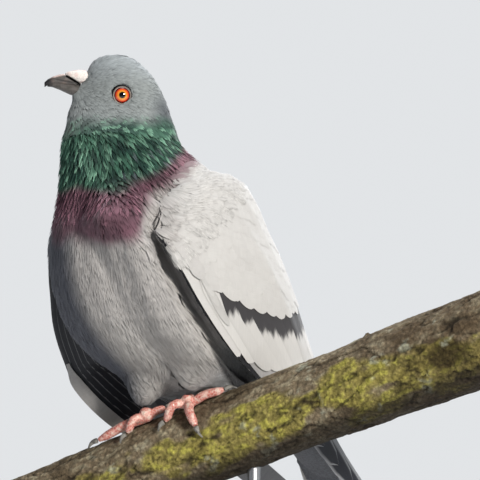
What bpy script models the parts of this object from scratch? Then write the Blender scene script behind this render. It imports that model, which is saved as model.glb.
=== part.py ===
"""A life-size feral pigeon (Columba livia) perched across a cut length of branch, on a display stand.

World frame: metres, +Z up, origin in the middle of the underside of the stand's base.
The bird faces -Y and its own left is +X. Its head is turned to its right and raised.

Most sizes below are in millimetres in the bird's frame: x to its left, f forward and v up,
measured from the point where the perch's crest passes under its belly.
"""

import math

import bmesh
import bpy
from mathutils import Vector
from mathutils.bvhtree import BVHTree

MM = 0.001
GAP = 0.35 * MM  # between neighbouring solids

# Place of the bird's frame in the world.
GRIP = Vector((-4.0, -24.0, 112.0)) * MM

# The perch: a slightly tapered branch that rises towards the bird's left.
PERCH_RADIUS = 18.6
PERCH_TAPER = 0.012
PERCH_YAW = math.radians(20)
PERCH_SLOPE = math.radians(18.6)
PERCH_MIDDLE = Vector((0.0, -10.0, -18.2))
PERCH_START = -86.0
PERCH_END = 181.0
PERCH_ROWS = 20
PERCH_POINTS = 24
STUB_PLACE = 96.0
STUB_RINGS = ((8.0, 8.5), (18.0, 7.0), (22.0, 5.8), (31.0, 5.2))  # reach from the perch's axis, radius

# The stand.
BASE_RADIUS = 84.0
BASE_HEIGHT = 14.0
BASE_EDGE = 3.0
ROD_RADIUS = 3.0
ROD_FLANGE = 9.0
ROD_PLACES = {"stand_rod_low": -38.0, "stand_rod_high": 48.0}
ROD_SOCKET = 12.0

# The head's own frame: its origin is midway between the eyes, g is forward and h up.
EYE_LINE = Vector((-0.4, 18.1, 149.9))
HEAD_YAW = math.radians(40)
EYE_RADIUS = 5.2
EYE_SIDE = 8.4
EYE_RISE = -1.2
EYE_FORWARD = 0.3
EYE_INNER_SIDE = 4.6  # each globe is flat on its hidden inner side, this far from the head's middle

# Rings of the head and upper neck: height above the eyes, back, front, half width, taper, yaw in degrees.
HEAD_RINGS = (
    (18.9, 1.2, 5.6, 2.0, 0.0, 40),
    (18.3, -2.2, 8.4, 4.6, 0.05, 40),
    (16.7, -6.0, 11.9, 7.1, 0.1, 40),
    (13.5, -10.2, 15.4, 9.2, 0.2, 40),
    (9.0, -14.4, 17.6, 10.9, 0.26, 40),
    (4.0, -17.6, 19.2, 11.9, 0.28, 40),
    (-2.0, -20.4, 22.4, 13.0, 0.26, 40),
    (-9.0, -22.9, 24.8, 15.8, 0.2, 38),
    (-16.0, -25.6, 26.2, 19.4, 0.1, 28),
    (-23.5, -29.0, 29.0, 24.0, 0.03, 14),
)

# Rings of the bill and of the swollen cere over its root: forward, top, bottom, half width.
BILL_UPPER_RINGS = (
    (13.0, 8.6, 3.9, 3.6),
    (18.0, 8.8, 4.1, 3.6),
    (24.5, 10.2, 4.6, 3.1),
    (28.5, 9.6, 5.1, 2.7),
    (31.5, 8.6, 5.4, 2.3),
    (34.0, 7.3, 5.0, 1.6),
    (35.6, 5.8, 4.0, 0.8),
)
BILL_LOWER_RINGS = (
    (12.0, 3.6, -1.6, 3.5),
    (19.0, 3.8, -1.4, 3.4),
    (24.0, 4.3, 0.2, 3.1),
    (28.5, 4.8, 2.3, 2.5),
    (32.0, 5.0, 3.6, 1.8),
    (34.2, 4.6, 3.8, 0.9),
)
CERE_RINGS = (
    (12.5, 11.0, 4.6, 5.2),
    (17.0, 11.7, 4.8, 5.3),
    (20.0, 11.8, 5.1, 4.9),
    (22.5, 11.4, 5.9, 4.2),
    (24.5, 10.9, 7.0, 3.3),
    (26.0, 10.3, 8.2, 1.8),
)

# Rings of the lower neck and trunk: dorsal point (f, v), ventral point (f, v), half width, taper.
TRUNK_RINGS = (
    (-21.0, 120.5, 47.0, 101.5, 31.5, 0.0),
    (-38.0, 108.0, 49.0, 78.5, 39.5, 0.02),
    (-50.0, 91.5, 43.0, 55.0, 43.0, 0.04),
    (-60.5, 72.0, 29.0, 36.0, 43.0, 0.06),
    (-69.0, 55.0, 10.0, 22.0, 40.0, 0.08),
    (-78.0, 40.5, -14.0, 10.0, 35.0, 0.1),
    (-87.5, 27.5, -43.0, 0.0, 26.5, 0.06),
    (-97.5, 13.5, -75.0, -7.5, 16.5, 0.0),
)
RING_POINTS = 24
RING_SQUARENESS = 0.94
BILL_POINTS = 14
STEPS_BETWEEN = 2
HEAD_CUT = 8.25  # counted in stations from the crown
NECK_CUT = 11.0

# The tail: a plate that hangs behind the perch, thick with coverts where it starts.
TAIL_LINE = (-96.6, 12.2)
TAIL_ANGLE = math.radians(54.5)
TAIL_ROOT = 5.0  # how far the tail's root reaches into the trunk before it is cut clear
TAIL_SQUARENESS = 0.85
TAIL_RINGS = (  # distance down the tail, thickness, half width
    (0.0, 26.5, 14.5),
    (12.0, 22.0, 15.5),
    (26.0, 15.0, 16.2),
    (42.0, 9.0, 17.0),
    (60.0, 5.2, 18.6),
    (80.0, 3.6, 21.4),
    (98.0, 2.4, 23.6),
    (104.0, 2.0, 21.6),
    (108.0, 1.6, 17.0),
)

# The folded wings, from wrist to tip. Both share the upper edge (x, f, v), with x outwards, and the
# thickness; the lower edge of the right wing hangs lower and tucks in behind the breast.
WING_UPPER = (
    (31.0, 29.0, 97.0, 2.4),
    (29.0, -8.0, 114.0, 3.6),
    (22.0, -36.0, 110.0, 4.4),
    (16.0, -50.5, 94.5, 4.6),
    (14.5, -64.0, 76.5, 4.4),
    (14.0, -75.5, 56.0, 4.0),
    (13.5, -87.0, 36.0, 3.4),
    (13.0, -101.5, 15.0, 3.0),
    (14.0, -117.4, -9.5, 2.6),
    (17.0, -133.5, -32.5, 2.0),
    (21.5, -148.0, -54.0, 1.5),
)
WING_LOWER = {
    "left": (
        (37.5, 39.0, 87.0),
        (45.5, 36.5, 79.0),
        (50.0, 29.5, 66.5),
        (51.0, 19.5, 52.5),
        (49.5, 6.0, 39.5),
        (46.0, -12.0, 26.5),
        (38.5, -37.0, 13.5),
        (34.0, -58.0, -6.0),
        (28.5, -86.0, -24.5),
        (26.5, -113.0, -41.5),
        (26.0, -140.0, -55.0),
    ),
    "right": (
        (36.0, 28.0, 93.0),
        (42.0, 24.0, 83.0),
        (46.0, 21.0, 70.0),
        (48.5, 16.5, 57.0),
        (50.0, 13.0, 44.0),
        (49.0, 8.0, 30.0),
        (45.0, 2.0, 15.5),
        (39.0, -17.0, -1.0),
        (33.0, -56.0, -20.0),
        (28.5, -98.0, -38.0),
        (26.0, -140.0, -55.0),
    ),
}
WING_COLUMNS = 8
WING_SHIELD_END = 6.0  # the coverts end here and the flight feathers go on
WING_CLEARANCE = 0.7
WING_ROUNDNESS = 2.15
WING_EDGE = 0.45  # the wing's thickness at its edges, as a share of that in its middle

# Legs: where each foot stands along the perch, and how far forward of its crest, in degrees.
FEET = {"left": (26.0, 34.0), "right": (2.5, 27.0)}
SHANK_RADIUS = 2.4
SOLE_RADIUS = 3.6
TOE_CLEARANCE = 0.45
TOE_POINTS = 7
# Each toe: its turn from the way straight over the perch's front, in degrees towards the high end,
# its length without the claw, how high its knuckle arches, its radius at the root, and its claw's length.
TOES = {
    "left": {
        "inner": (-62, 14.0, 4.0, 2.4, 5.5),
        "middle": (12, 15.0, 2.0, 2.5, 6.0),
        "outer": (93, 18.0, 1.0, 2.4, 6.0),
        "hind": (195, 10.0, 0.5, 2.2, 5.0),
    },
    "right": {
        "inner": (-58, 12.0, 3.0, 2.3, 5.5),
        "middle": (-86, 27.0, 1.0, 2.5, 7.0),
        "outer": (-124, 17.0, 0.6, 2.3, 6.0),
        "hind": (120, 9.0, 0.5, 2.2, 5.0),
    },
}
TOE_TAPER = 0.22
CLAW_START = 0.8  # beyond the toe's tip
CLAW_RADIUS = 1.05
CLAW_TIP = 0.3

# Feathered upper legs: where each one's top lies (x, f), how high it reaches, and its rings as
# (share of the way up from the sole, radius).
THIGHS = {"left": (17.0, -16.0), "right": (-11.0, -10.0)}
THIGH_TOP = 40.0
THIGH_ABOVE_SOLE = 1.4
THIGH_RINGS = ((0.0, 4.8), (0.12, 7.4), (0.3, 9.8), (0.55, 11.5), (0.8, 12.0), (1.0, 8.0))

FEATHER_GREY = (0.36, 0.37, 0.39)
PALE_GREY = (0.62, 0.61, 0.60)
NECK_GREEN = (0.07, 0.19, 0.15)
SLATE = (0.22, 0.23, 0.25)
BARE_PINK = (0.60, 0.25, 0.22)
CLAW_GREY = (0.16, 0.15, 0.14)
BILL_DARK = (0.10, 0.10, 0.10)
CERE_WHITE = (0.85, 0.80, 0.77)
IRIS_ORANGE = (0.75, 0.20, 0.03)
BARK_BROWN = (0.22, 0.18, 0.11)
BASE_WALNUT = (0.14, 0.08, 0.05)
ROD_STEEL = (0.55, 0.55, 0.55)


def world(x, forward, up):
    """A point of the bird's frame, in millimetres, as a point of the world in metres."""
    return GRIP + Vector((x, -forward, up)) * MM


def material(name, colour, roughness, metallic=0.0):
    made = bpy.data.materials.get(name)
    if made:
        return made
    made = bpy.data.materials.new(name)
    made.use_nodes = True
    shader = made.node_tree.nodes["Principled BSDF"]
    shader.inputs["Base Color"].default_value = (*colour, 1.0)
    shader.inputs["Roughness"].default_value = roughness
    shader.inputs["Metallic"].default_value = metallic
    return made


def mesh_object(name, points, faces, look):
    mesh = bpy.data.meshes.new(name)
    mesh.from_pydata([tuple(p) for p in points], [], faces)
    work = bmesh.new()
    work.from_mesh(mesh)
    bmesh.ops.recalc_face_normals(work, faces=work.faces)
    work.to_mesh(mesh)
    work.free()
    mesh.shade_smooth()
    mesh.set_sharp_from_angle(angle=math.radians(50))
    mesh.materials.append(look)
    made = bpy.data.objects.new(name, mesh)
    bpy.context.scene.collection.objects.link(made)
    return made


def loft(name, rings, look):
    """A closed skin over rings that all have the same number of points, capped at both ends."""
    count = len(rings[0])
    points = [p for ring in rings for p in ring]
    faces = []
    for row in range(len(rings) - 1):
        for i in range(count):
            j = (i + 1) % count
            faces.append((row * count + i, row * count + j, (row + 1) * count + j, (row + 1) * count + i))
    for row in (0, len(rings) - 1):
        start = row * count
        points.append(sum(rings[row], Vector()) / count)
        for i in range(count):
            faces.append((start + i, start + (i + 1) % count, len(points) - 1))
    return mesh_object(name, points, faces, look)


def as_cutter(obj):
    obj.hide_render = True
    obj.display_type = "WIRE"
    return obj


def grown(source, by=GAP):
    """A hidden copy of a solid as it is shown, pushed out by the gap, for cutting its neighbours."""
    bpy.context.view_layer.update()
    graph = bpy.context.evaluated_depsgraph_get()
    mesh = bpy.data.meshes.new_from_object(source.evaluated_get(graph))
    made = bpy.data.objects.new(source.name + "_cutter", mesh)
    bpy.context.scene.collection.objects.link(made)
    normals = [v.normal.copy() for v in mesh.vertices]
    for vertex, normal in zip(mesh.vertices, normals):
        vertex.co += normal * by
    return as_cutter(made)


def boolean(target, other, operation="DIFFERENCE"):
    step = target.modifiers.new(operation.lower(), "BOOLEAN")
    step.operation = operation
    step.solver = "EXACT"
    step.object = other


def spline(stations, place):
    """Catmull-Rom through equally spaced stations, each a list of numbers or vectors."""
    last = len(stations) - 1
    i = min(int(place), last - 1)
    t = place - i
    before, here, there, after = (stations[max(0, min(last, i + k))] for k in (-1, 0, 1, 2))
    return [
        0.5 * (2 * b + (c - a) * t + (2 * a - 5 * b + 4 * c - d) * t * t + (3 * b - a - 3 * c + d) * t**3)
        for a, b, c, d in zip(before, here, there, after)
    ]


def signed_power(value, power):
    return math.copysign(abs(value) ** power, value)


def head_point(forward, up, side=0.0, yaw=HEAD_YAW):
    """A point of the head's frame, in millimetres, as a Vector in the bird's frame; side is to its left."""
    across = Vector((math.cos(yaw), math.sin(yaw), 0.0))
    ahead = Vector((-math.sin(yaw), math.cos(yaw), 0.0))
    return EYE_LINE + ahead * forward + across * side + Vector((0.0, 0.0, up))


def body_stations():
    """Every station from the crown to the vent, as (middle, half way to the back, half width, taper)."""
    stations = []
    for height, back, front, width, taper, degrees in HEAD_RINGS:
        yaw = math.radians(degrees)
        back_point = head_point(back, height, yaw=yaw)
        front_point = head_point(front, height, yaw=yaw)
        side = Vector((math.cos(yaw), math.sin(yaw), 0.0)) * width
        stations.append(((back_point + front_point) / 2, (back_point - front_point) / 2, side, taper))
    for back_f, back_v, front_f, front_v, width, taper in TRUNK_RINGS:
        back_point = Vector((0.0, back_f, back_v))
        front_point = Vector((0.0, front_f, front_v))
        side = Vector((width, 0.0, 0.0))
        stations.append(((back_point + front_point) / 2, (back_point - front_point) / 2, side, taper))
    return stations


def body_ring(stations, place):
    """One ring of the body at a place counted in stations from the crown."""
    middle, back, side, taper = spline(stations, place)
    ring = []
    for i in range(RING_POINTS):
        turn = 2 * math.pi * i / RING_POINTS
        along = signed_power(math.cos(turn), RING_SQUARENESS)
        across = signed_power(math.sin(turn), RING_SQUARENESS) * (1 + taper * math.cos(turn))
        ring.append(world(*(middle + back * along + side * across)))
    return ring


def body_part(name, start, end, look, shift=0.0):
    """The body from one place to another. Its first ring is moved on by the gap, to part it from the last."""
    stations = body_stations()
    count = max(2, round((end - start) * STEPS_BETWEEN)) + 1
    rings = [body_ring(stations, start + (end - start) * i / (count - 1)) for i in range(count)]
    if shift:
        step = sum(rings[1], Vector()) / RING_POINTS - sum(rings[0], Vector()) / RING_POINTS
        rings[0] = [p + step.normalized() * shift for p in rings[0]]
    return loft(name, rings, look)


def make_body():
    slate = material("slate_feathers", SLATE, 0.8)
    green = material("neck_feathers", NECK_GREEN, 0.5)
    grey = material("body_feathers", FEATHER_GREY, 0.85)
    last = len(HEAD_RINGS) + len(TRUNK_RINGS) - 1
    head = body_part("head", 0.0, HEAD_CUT, slate)
    neck = body_part("neck", HEAD_CUT, NECK_CUT, green, shift=GAP)
    trunk = body_part("trunk", NECK_CUT, float(last), grey, shift=GAP)
    return head, neck, trunk


def oval(middle, half_up, half_side, count=16, squareness=1.0):
    """A ring round a middle, from its half height and half width given as vectors."""
    ring = []
    for i in range(count):
        turn = 2 * math.pi * i / count
        along = signed_power(math.cos(turn), squareness)
        across = signed_power(math.sin(turn), squareness)
        ring.append(world(*(middle + half_up * along + half_side * across)))
    return ring


def make_tail(trunk):
    down = Vector((0.0, -math.cos(TAIL_ANGLE), -math.sin(TAIL_ANGLE)))
    under = Vector((0.0, math.sin(TAIL_ANGLE), -math.cos(TAIL_ANGLE)))
    start = Vector((0.0, *TAIL_LINE))
    rings = []
    for distance, thickness, width in TAIL_RINGS:
        middle = start + down * distance + under * thickness / 2
        rings.append(oval(middle, under * (-thickness / 2), Vector((width, 0, 0)), 16, TAIL_SQUARENESS))
    inwards = (rings[0][0] - rings[1][0]).normalized() * TAIL_ROOT * MM
    rings.insert(0, [p + inwards for p in rings[0]])
    tail = loft("tail", rings, material("tail_feathers", FEATHER_GREY, 0.75))
    boolean(tail, grown(trunk))
    return tail


def nearest_outside(trees, point):
    """The nearest point of several solids, its outward normal, and how far outside it the point lies."""
    found = [tree.find_nearest(point) for tree in trees]
    place, normal, _, _ = min(found, key=lambda hit: hit[3])
    return place, normal, (point - place).dot(normal)


def tree_of(obj):
    bpy.context.view_layer.update()
    return BVHTree.FromObject(obj, bpy.context.evaluated_depsgraph_get())


def wing_point(side, place, across):
    """The outer surface of a wing: a quarter of a rounded oval from its lower edge to its upper one."""
    stations = [(*low, *high) for low, high in zip(WING_LOWER[side], WING_UPPER)]
    numbers = spline(stations, place)
    low, high, thick = Vector(numbers[0:3]), Vector(numbers[3:6]), numbers[6]
    turn = across * math.pi / 2
    out = math.cos(turn) ** (2 / WING_ROUNDNESS)
    rise = math.sin(turn) ** (2 / WING_ROUNDNESS)
    outward = high.x + (low.x - high.x) * out
    if side == "right":
        outward = -outward
    return Vector((outward, low.y + (high.y - low.y) * rise, low.z + (high.z - low.z) * rise)), thick


def wing_sheet(side, start, end, rows, trees):
    """Outer and inner points of a stretch of wing, both clear of the body that it lies on."""
    outer, inner = [], []
    flip = -1.0 if side == "right" else 1.0
    least = WING_CLEARANCE * MM
    for row in range(rows):
        place = start + (end - start) * row / (rows - 1)
        for column in range(WING_COLUMNS):
            across = column / (WING_COLUMNS - 1)
            here, thick = wing_point(side, place, across)
            ahead = wing_point(side, min(place + 0.05, len(WING_UPPER) - 1), across)[0]
            behind = wing_point(side, max(place - 0.05, 0.0), across)[0]
            up = wing_point(side, place, min(1.0, across + 0.04))[0]
            down = wing_point(side, place, max(0.0, across - 0.04))[0]
            normal = (up - down).cross(ahead - behind).normalized() * flip
            thin = thick * MM * (WING_EDGE + (1 - WING_EDGE) * math.sin(math.pi * across))
            skin = world(*here)
            _, body_out, clear = nearest_outside(trees, skin)
            if clear < least + thin:
                skin = skin + body_out * (least + thin - clear)
            under = skin - Vector((normal.x, -normal.y, normal.z)) * thin
            place_on, body_out, clear = nearest_outside(trees, under)
            if clear < least:
                under = place_on + body_out * least
            outer.append(skin)
            inner.append(under)
    return outer, inner


def wing_solid(name, side, start, end, rows, trees, look):
    outer, inner = wing_sheet(side, start, end, rows, trees)
    columns = WING_COLUMNS
    total = rows * columns
    points = outer + inner
    faces = []
    for row in range(rows - 1):
        for column in range(columns - 1):
            a = row * columns + column
            b, c, d = a + 1, a + columns + 1, a + columns
            faces.append((a, b, c, d))
            faces.append((a + total, d + total, c + total, b + total))
    edge = list(range(columns))
    edge += [r * columns + columns - 1 for r in range(1, rows)]
    edge += [(rows - 1) * columns + c for c in range(columns - 2, -1, -1)]
    edge += [r * columns for r in range(rows - 2, 0, -1)]
    for i, a in enumerate(edge):
        b = edge[(i + 1) % len(edge)]
        faces.append((a, a + total, b + total, b))
    return mesh_object(name, points, faces, look)


def make_wings(neck, trunk, tail):
    shield = material("wing_coverts", PALE_GREY, 0.8)
    quills = material("flight_feathers", FEATHER_GREY, 0.7)
    trees = [tree_of(neck), tree_of(trunk), tree_of(tail)]
    around = [grown(neck), grown(trunk), grown(tail)]
    last = len(WING_UPPER) - 1
    start = WING_SHIELD_END + 0.03
    for side in WING_LOWER:
        coverts = wing_solid(f"wing_{side}", side, 0.0, WING_SHIELD_END, 13, trees, shield)
        tip = wing_solid(f"wing_tip_{side}", side, start, float(last), 9, trees, quills)
        boolean(coverts, around[0])
        boolean(coverts, around[1])
        boolean(tip, around[1])
        boolean(tip, around[2])


def bill_ring(forward, top, bottom, width):
    middle = head_point(forward, (top + bottom) / 2)
    side = head_point(forward, 0.0, 1.0) - head_point(forward, 0.0)
    return oval(middle, Vector((0, 0, (top - bottom) / 2)), side * width, BILL_POINTS)


def make_bill(head):
    """Upper and lower mandible and the swollen cere, each cut clear of what it grows from."""
    horn = material("bill", BILL_DARK, 0.4)
    upper = loft("bill_upper", [bill_ring(*ring) for ring in BILL_UPPER_RINGS], horn)
    lower = loft("bill_lower", [bill_ring(*ring) for ring in BILL_LOWER_RINGS], horn)
    flesh = material("cere", CERE_WHITE, 0.6)
    cere = loft("cere", [bill_ring(*ring) for ring in CERE_RINGS], flesh)
    boolean(upper, grown(cere))
    around = grown(head)
    for piece in (cere, upper, lower):
        boolean(piece, around)


def ball(name, middle, radius, look, count=12):
    mesh = bpy.data.meshes.new(name)
    work = bmesh.new()
    bmesh.ops.create_uvsphere(work, u_segments=count, v_segments=8, radius=radius * MM)
    bmesh.ops.translate(work, verts=work.verts, vec=world(*middle))
    work.to_mesh(mesh)
    work.free()
    mesh.shade_smooth()
    mesh.materials.append(look)
    made = bpy.data.objects.new(name, mesh)
    bpy.context.scene.collection.objects.link(made)
    return made


def make_eyes(head):
    iris = material("eye", IRIS_ORANGE, 0.05)
    for side, sign in (("left", 1.0), ("right", -1.0)):
        eye = ball(f"eye_{side}", head_point(EYE_FORWARD, EYE_RISE, EYE_SIDE * sign), EYE_RADIUS, iris, 14)
        boolean(head, grown(eye))
        boolean(eye, as_cutter(inner_block(eye, sign)))


def inner_block(eye, sign):
    """A block that takes the hidden inner side off an eye, so that the two eyes don't meet."""
    half = 2 * EYE_RADIUS
    across = head_point(0.0, 0.0, 1.0) - head_point(0.0, 0.0)
    ahead = head_point(1.0, 0.0) - head_point(0.0, 0.0)
    face = head_point(EYE_FORWARD, EYE_RISE, EYE_INNER_SIDE * sign)
    corners = ((-half, -half), (half, -half), (half, half), (-half, half))
    rings = []
    for depth in (4 * EYE_RADIUS, 0.0):
        centre = face - across * depth * sign
        rings.append([world(*(centre + ahead * a + Vector((0, 0, b)))) for a, b in corners])
    return loft(eye.name + "_back", rings, material("eye", IRIS_ORANGE, 0.05))


def perch_axes():
    """The perch's direction, its up and its front, as unit vectors in the bird's frame (x, f, v)."""
    flat = Vector((math.cos(PERCH_YAW), -math.sin(PERCH_YAW), 0.0))
    along = flat * math.cos(PERCH_SLOPE) + Vector((0, 0, math.sin(PERCH_SLOPE)))
    up = Vector((0, 0, math.cos(PERCH_SLOPE))) - flat * math.sin(PERCH_SLOPE)
    front = Vector((math.sin(PERCH_YAW), math.cos(PERCH_YAW), 0.0))
    return along, up, front


def perch_radius(place, turn):
    """The bark's radius at a place along the perch, turned from its crest towards its front."""
    swell = 0.5 * math.sin(place / 21 + 0.8) + 0.3 * math.sin(place / 9 + turn)
    ridges = 0.35 * math.sin(3 * turn + place / 40)
    return PERCH_RADIUS + PERCH_TAPER * place + swell + ridges


def perch_point(place, turn, lift=0.0):
    along, up, front = perch_axes()
    reach = perch_radius(place, turn) + lift
    return PERCH_MIDDLE + along * place + (up * math.cos(turn) + front * math.sin(turn)) * reach


def make_perch():
    bark = material("bark", BARK_BROWN, 0.95)
    around = [2 * math.pi * i / PERCH_POINTS for i in range(PERCH_POINTS)]
    rings = []
    for row in range(PERCH_ROWS):
        place = PERCH_START + (PERCH_END - PERCH_START) * row / (PERCH_ROWS - 1)
        rings.append([world(*perch_point(place, turn)) for turn in around])
    perch = loft("perch", rings, bark)
    stub = loft("perch_stub", stub_rings(), bark)
    boolean(perch, as_cutter(stub), "UNION")
    for place in ROD_PLACES.values():
        boolean(perch, as_cutter(rod_hole(place)))


def stub_rings():
    """A sawn-off side twig on the upper back of the perch's high end."""
    along, up, front = perch_axes()
    out = (up * 0.7 - front * 0.6 + along * 0.5).normalized()
    side = out.cross(along).normalized()
    over = out.cross(side)
    root = PERCH_MIDDLE + along * STUB_PLACE
    rings = []
    for reach, radius in STUB_RINGS:
        rings.append(oval(root + out * reach, side * radius, over * radius, 12))
    return rings


def rod_foot(place):
    """Where the rod that holds this place of the perch stands, in the bird's frame."""
    along, _, _ = perch_axes()
    return PERCH_MIDDLE + along * place


def rod_hole(place):
    top = rod_foot(place)
    low = Vector((top.x, top.y, top.z - PERCH_RADIUS * 2))
    top = Vector((top.x, top.y, top.z - PERCH_RADIUS / math.cos(PERCH_SLOPE) + ROD_SOCKET))
    reach = ROD_RADIUS + GAP / MM
    rings = [oval(p, Vector((reach, 0, 0)), Vector((0, reach, 0)), 20) for p in (low, top)]
    return loft("rod_hole", rings, material("bark", BARK_BROWN, 0.95))


def turned(name, profile, middle, look, count=28):
    """A solid turned round a vertical axis, from (radius, height) pairs in millimetres, bottom to top."""
    rings = []
    for radius, height in profile:
        centre = Vector((middle.x, middle.y, 0.0)) + Vector((0, 0, height)) * MM
        around = [2 * math.pi * i / count for i in range(count)]
        rings.append([centre + Vector((math.cos(a), math.sin(a), 0)) * radius * MM for a in around])
    return loft(name, rings, look)


def make_stand():
    wood = material("stand_wood", BASE_WALNUT, 0.45)
    steel = material("stand_steel", ROD_STEEL, 0.3, 1.0)
    edge, top = BASE_EDGE, BASE_HEIGHT
    base = [
        (BASE_RADIUS - 1.0, 0.0),
        (BASE_RADIUS, 1.0),
        (BASE_RADIUS, top - edge),
        (BASE_RADIUS - 0.3 * edge, top - 0.3 * edge),
        (BASE_RADIUS - edge, top),
    ]
    turned("stand_base", base, Vector(), wood, 40)
    for name, place in ROD_PLACES.items():
        foot = world(*rod_foot(place))
        end = foot.z / MM - PERCH_RADIUS / math.cos(PERCH_SLOPE) + ROD_SOCKET - GAP / MM
        start = top + GAP / MM
        profile = [
            (ROD_FLANGE, start),
            (ROD_FLANGE, start + 1.6),
            (ROD_FLANGE - 1.2, start + 2.6),
            (ROD_RADIUS + 1.0, start + 3.2),
            (ROD_RADIUS, start + 4.4),
            (ROD_RADIUS, end),
        ]
        turned(name, profile, foot, steel, 16)


def tube(name, points, radii, look, count=10):
    """A round tube through points of the bird's frame, with a rounded tip."""
    rings = []
    for i, (point, radius) in enumerate(zip(points, radii)):
        ahead = points[min(i + 1, len(points) - 1)] - points[max(i - 1, 0)]
        side = ahead.cross(Vector((0.31, 0.17, 0.93))).normalized()
        over = side.cross(ahead).normalized()
        rings.append(oval(point, over * radius, side * radius, count))
    return loft(name, rings, look)


def toe_path(side, toe, start, end, count):
    """Points along a toe that hugs the perch from the sole, between two distances from it."""
    place, crest = FEET[side]
    turn, length, arch, radius, _ = TOES[side][toe]
    turn = math.radians(turn)
    points = []
    for i in range(count):
        reach = start + (end - start) * i / (count - 1)
        lift = radius + TOE_CLEARANCE + arch * math.sin(math.pi * min(1.0, reach / length)) ** 2
        along = place + reach * math.sin(turn)
        around = math.radians(crest) + reach * math.cos(turn) / (PERCH_RADIUS + radius)
        points.append(perch_point(along, around, lift))
    return points


def make_foot(side, thigh, trunk):
    pink = material("bare_skin", BARE_PINK, 0.6)
    horn = material("claw", CLAW_GREY, 0.4)
    place, crest = FEET[side]
    sole = perch_point(place, math.radians(crest), SOLE_RADIUS + TOE_CLEARANCE)
    foot = ball(f"foot_{side}", sole, SOLE_RADIUS, pink)
    hip = Vector((*THIGHS[side], THIGH_TOP))
    shank = [sole + (hip - sole) * t for t in (0.0, 0.05, 0.1, 0.15)]
    radii = (SHANK_RADIUS * 1.2, SHANK_RADIUS * 1.15, SHANK_RADIUS, SHANK_RADIUS * 0.9)
    boolean(foot, as_cutter(tube(f"shank_{side}", shank, radii, pink)), "UNION")
    for toe, (_, length, _, radius, _) in TOES[side].items():
        points = toe_path(side, toe, 0.8, length, TOE_POINTS)
        radii = [radius * (1 - TOE_TAPER * i / (TOE_POINTS - 1)) for i in range(TOE_POINTS)]
        radii[-1] *= 0.55
        boolean(foot, as_cutter(tube(f"toe_{side}_{toe}", points, radii, pink, 8)), "UNION")
    boolean(foot, grown(thigh))
    boolean(foot, grown(trunk))
    for toe, (_, length, _, radius, claw) in TOES[side].items():
        path = toe_path(side, toe, length + CLAW_START, length + claw, 6)
        drop = [(radius - 0.5) * (i / 5) ** 2 - 0.5 * math.sin(math.pi * i / 5) for i in range(6)]
        points = [p - (p - nearest_axis(p)).normalized() * d for p, d in zip(path, drop)]
        radii = [CLAW_RADIUS * (1 - (i / 5) ** 1.5) + CLAW_TIP for i in range(6)]
        tube(f"claw_{side}_{toe}", points, radii, horn, 6)


def nearest_axis(point):
    along, _, _ = perch_axes()
    return PERCH_MIDDLE + along * (point - PERCH_MIDDLE).dot(along)


def make_thigh(side, trunk):
    """The feathered upper leg: a lobe that comes out of the belly above the foot."""
    place, crest = FEET[side]
    sole = perch_point(place, math.radians(crest), SOLE_RADIUS * 2 + THIGH_ABOVE_SOLE)
    top = Vector((THIGHS[side][0] * 1.1, THIGHS[side][1] - 2.0, THIGH_TOP))
    look = material("body_feathers", FEATHER_GREY, 0.85)
    points = [sole + (top - sole) * share for share, _ in THIGH_RINGS]
    thigh = tube(f"thigh_{side}", points, [radius for _, radius in THIGH_RINGS], look, 14)
    boolean(thigh, grown(trunk))
    return thigh


def main():
    for obj in list(bpy.data.objects):
        bpy.data.objects.remove(obj)
    head, neck, trunk = make_body()
    tail = make_tail(trunk)
    make_eyes(head)
    make_bill(head)
    make_wings(neck, trunk, tail)
    make_perch()
    make_stand()
    for side in FEET:
        make_foot(side, make_thigh(side, trunk), trunk)


main()
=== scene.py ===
"""Looks of a life-size feral pigeon that perches on a cut length of branch, on a display stand.

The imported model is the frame. Lengths here are in millimetres, in the bird's own frame: x to its left,
f forward and v up, from the point where the perch's crest passes under its belly. Arrays of points
hold (x, -f, v), which is the world's frame moved to that point, and call these x, back and up.
"""
import math

import bpy
import numpy as np
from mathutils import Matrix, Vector, noise
from mathutils.bvhtree import BVHTree
from mathutils.kdtree import KDTree


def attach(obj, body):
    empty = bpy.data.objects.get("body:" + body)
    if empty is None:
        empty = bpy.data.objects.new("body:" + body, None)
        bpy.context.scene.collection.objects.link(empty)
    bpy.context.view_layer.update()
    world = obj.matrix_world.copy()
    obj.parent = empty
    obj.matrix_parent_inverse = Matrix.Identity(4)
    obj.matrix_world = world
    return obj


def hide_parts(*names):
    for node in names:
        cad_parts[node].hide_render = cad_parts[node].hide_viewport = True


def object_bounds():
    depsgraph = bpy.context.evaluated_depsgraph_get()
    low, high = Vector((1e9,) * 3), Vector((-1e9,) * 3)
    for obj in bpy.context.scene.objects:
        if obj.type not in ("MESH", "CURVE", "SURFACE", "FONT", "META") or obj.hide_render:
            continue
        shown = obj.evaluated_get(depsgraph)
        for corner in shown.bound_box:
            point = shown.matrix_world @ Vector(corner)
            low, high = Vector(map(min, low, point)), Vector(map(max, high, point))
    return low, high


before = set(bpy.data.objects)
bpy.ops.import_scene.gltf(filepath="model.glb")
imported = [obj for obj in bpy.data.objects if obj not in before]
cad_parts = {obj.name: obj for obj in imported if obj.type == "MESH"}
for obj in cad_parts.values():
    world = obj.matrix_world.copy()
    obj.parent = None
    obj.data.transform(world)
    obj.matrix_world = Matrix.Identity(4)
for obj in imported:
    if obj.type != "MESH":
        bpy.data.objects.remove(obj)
cad_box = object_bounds()

MM = 0.001
GRIP = np.array((-4.0, -24.0, 112.0))  # the bird's frame in the world
UP = np.array((0.0, 0.0, 1.0))
HAND = {"left": 1.0, "right": -1.0}  # the sign of x on each side
BODY_NODES = ("head", "neck", "trunk", "thigh_left", "thigh_right")
BILL_NODES = ("bill_upper", "bill_lower", "cere")

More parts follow.
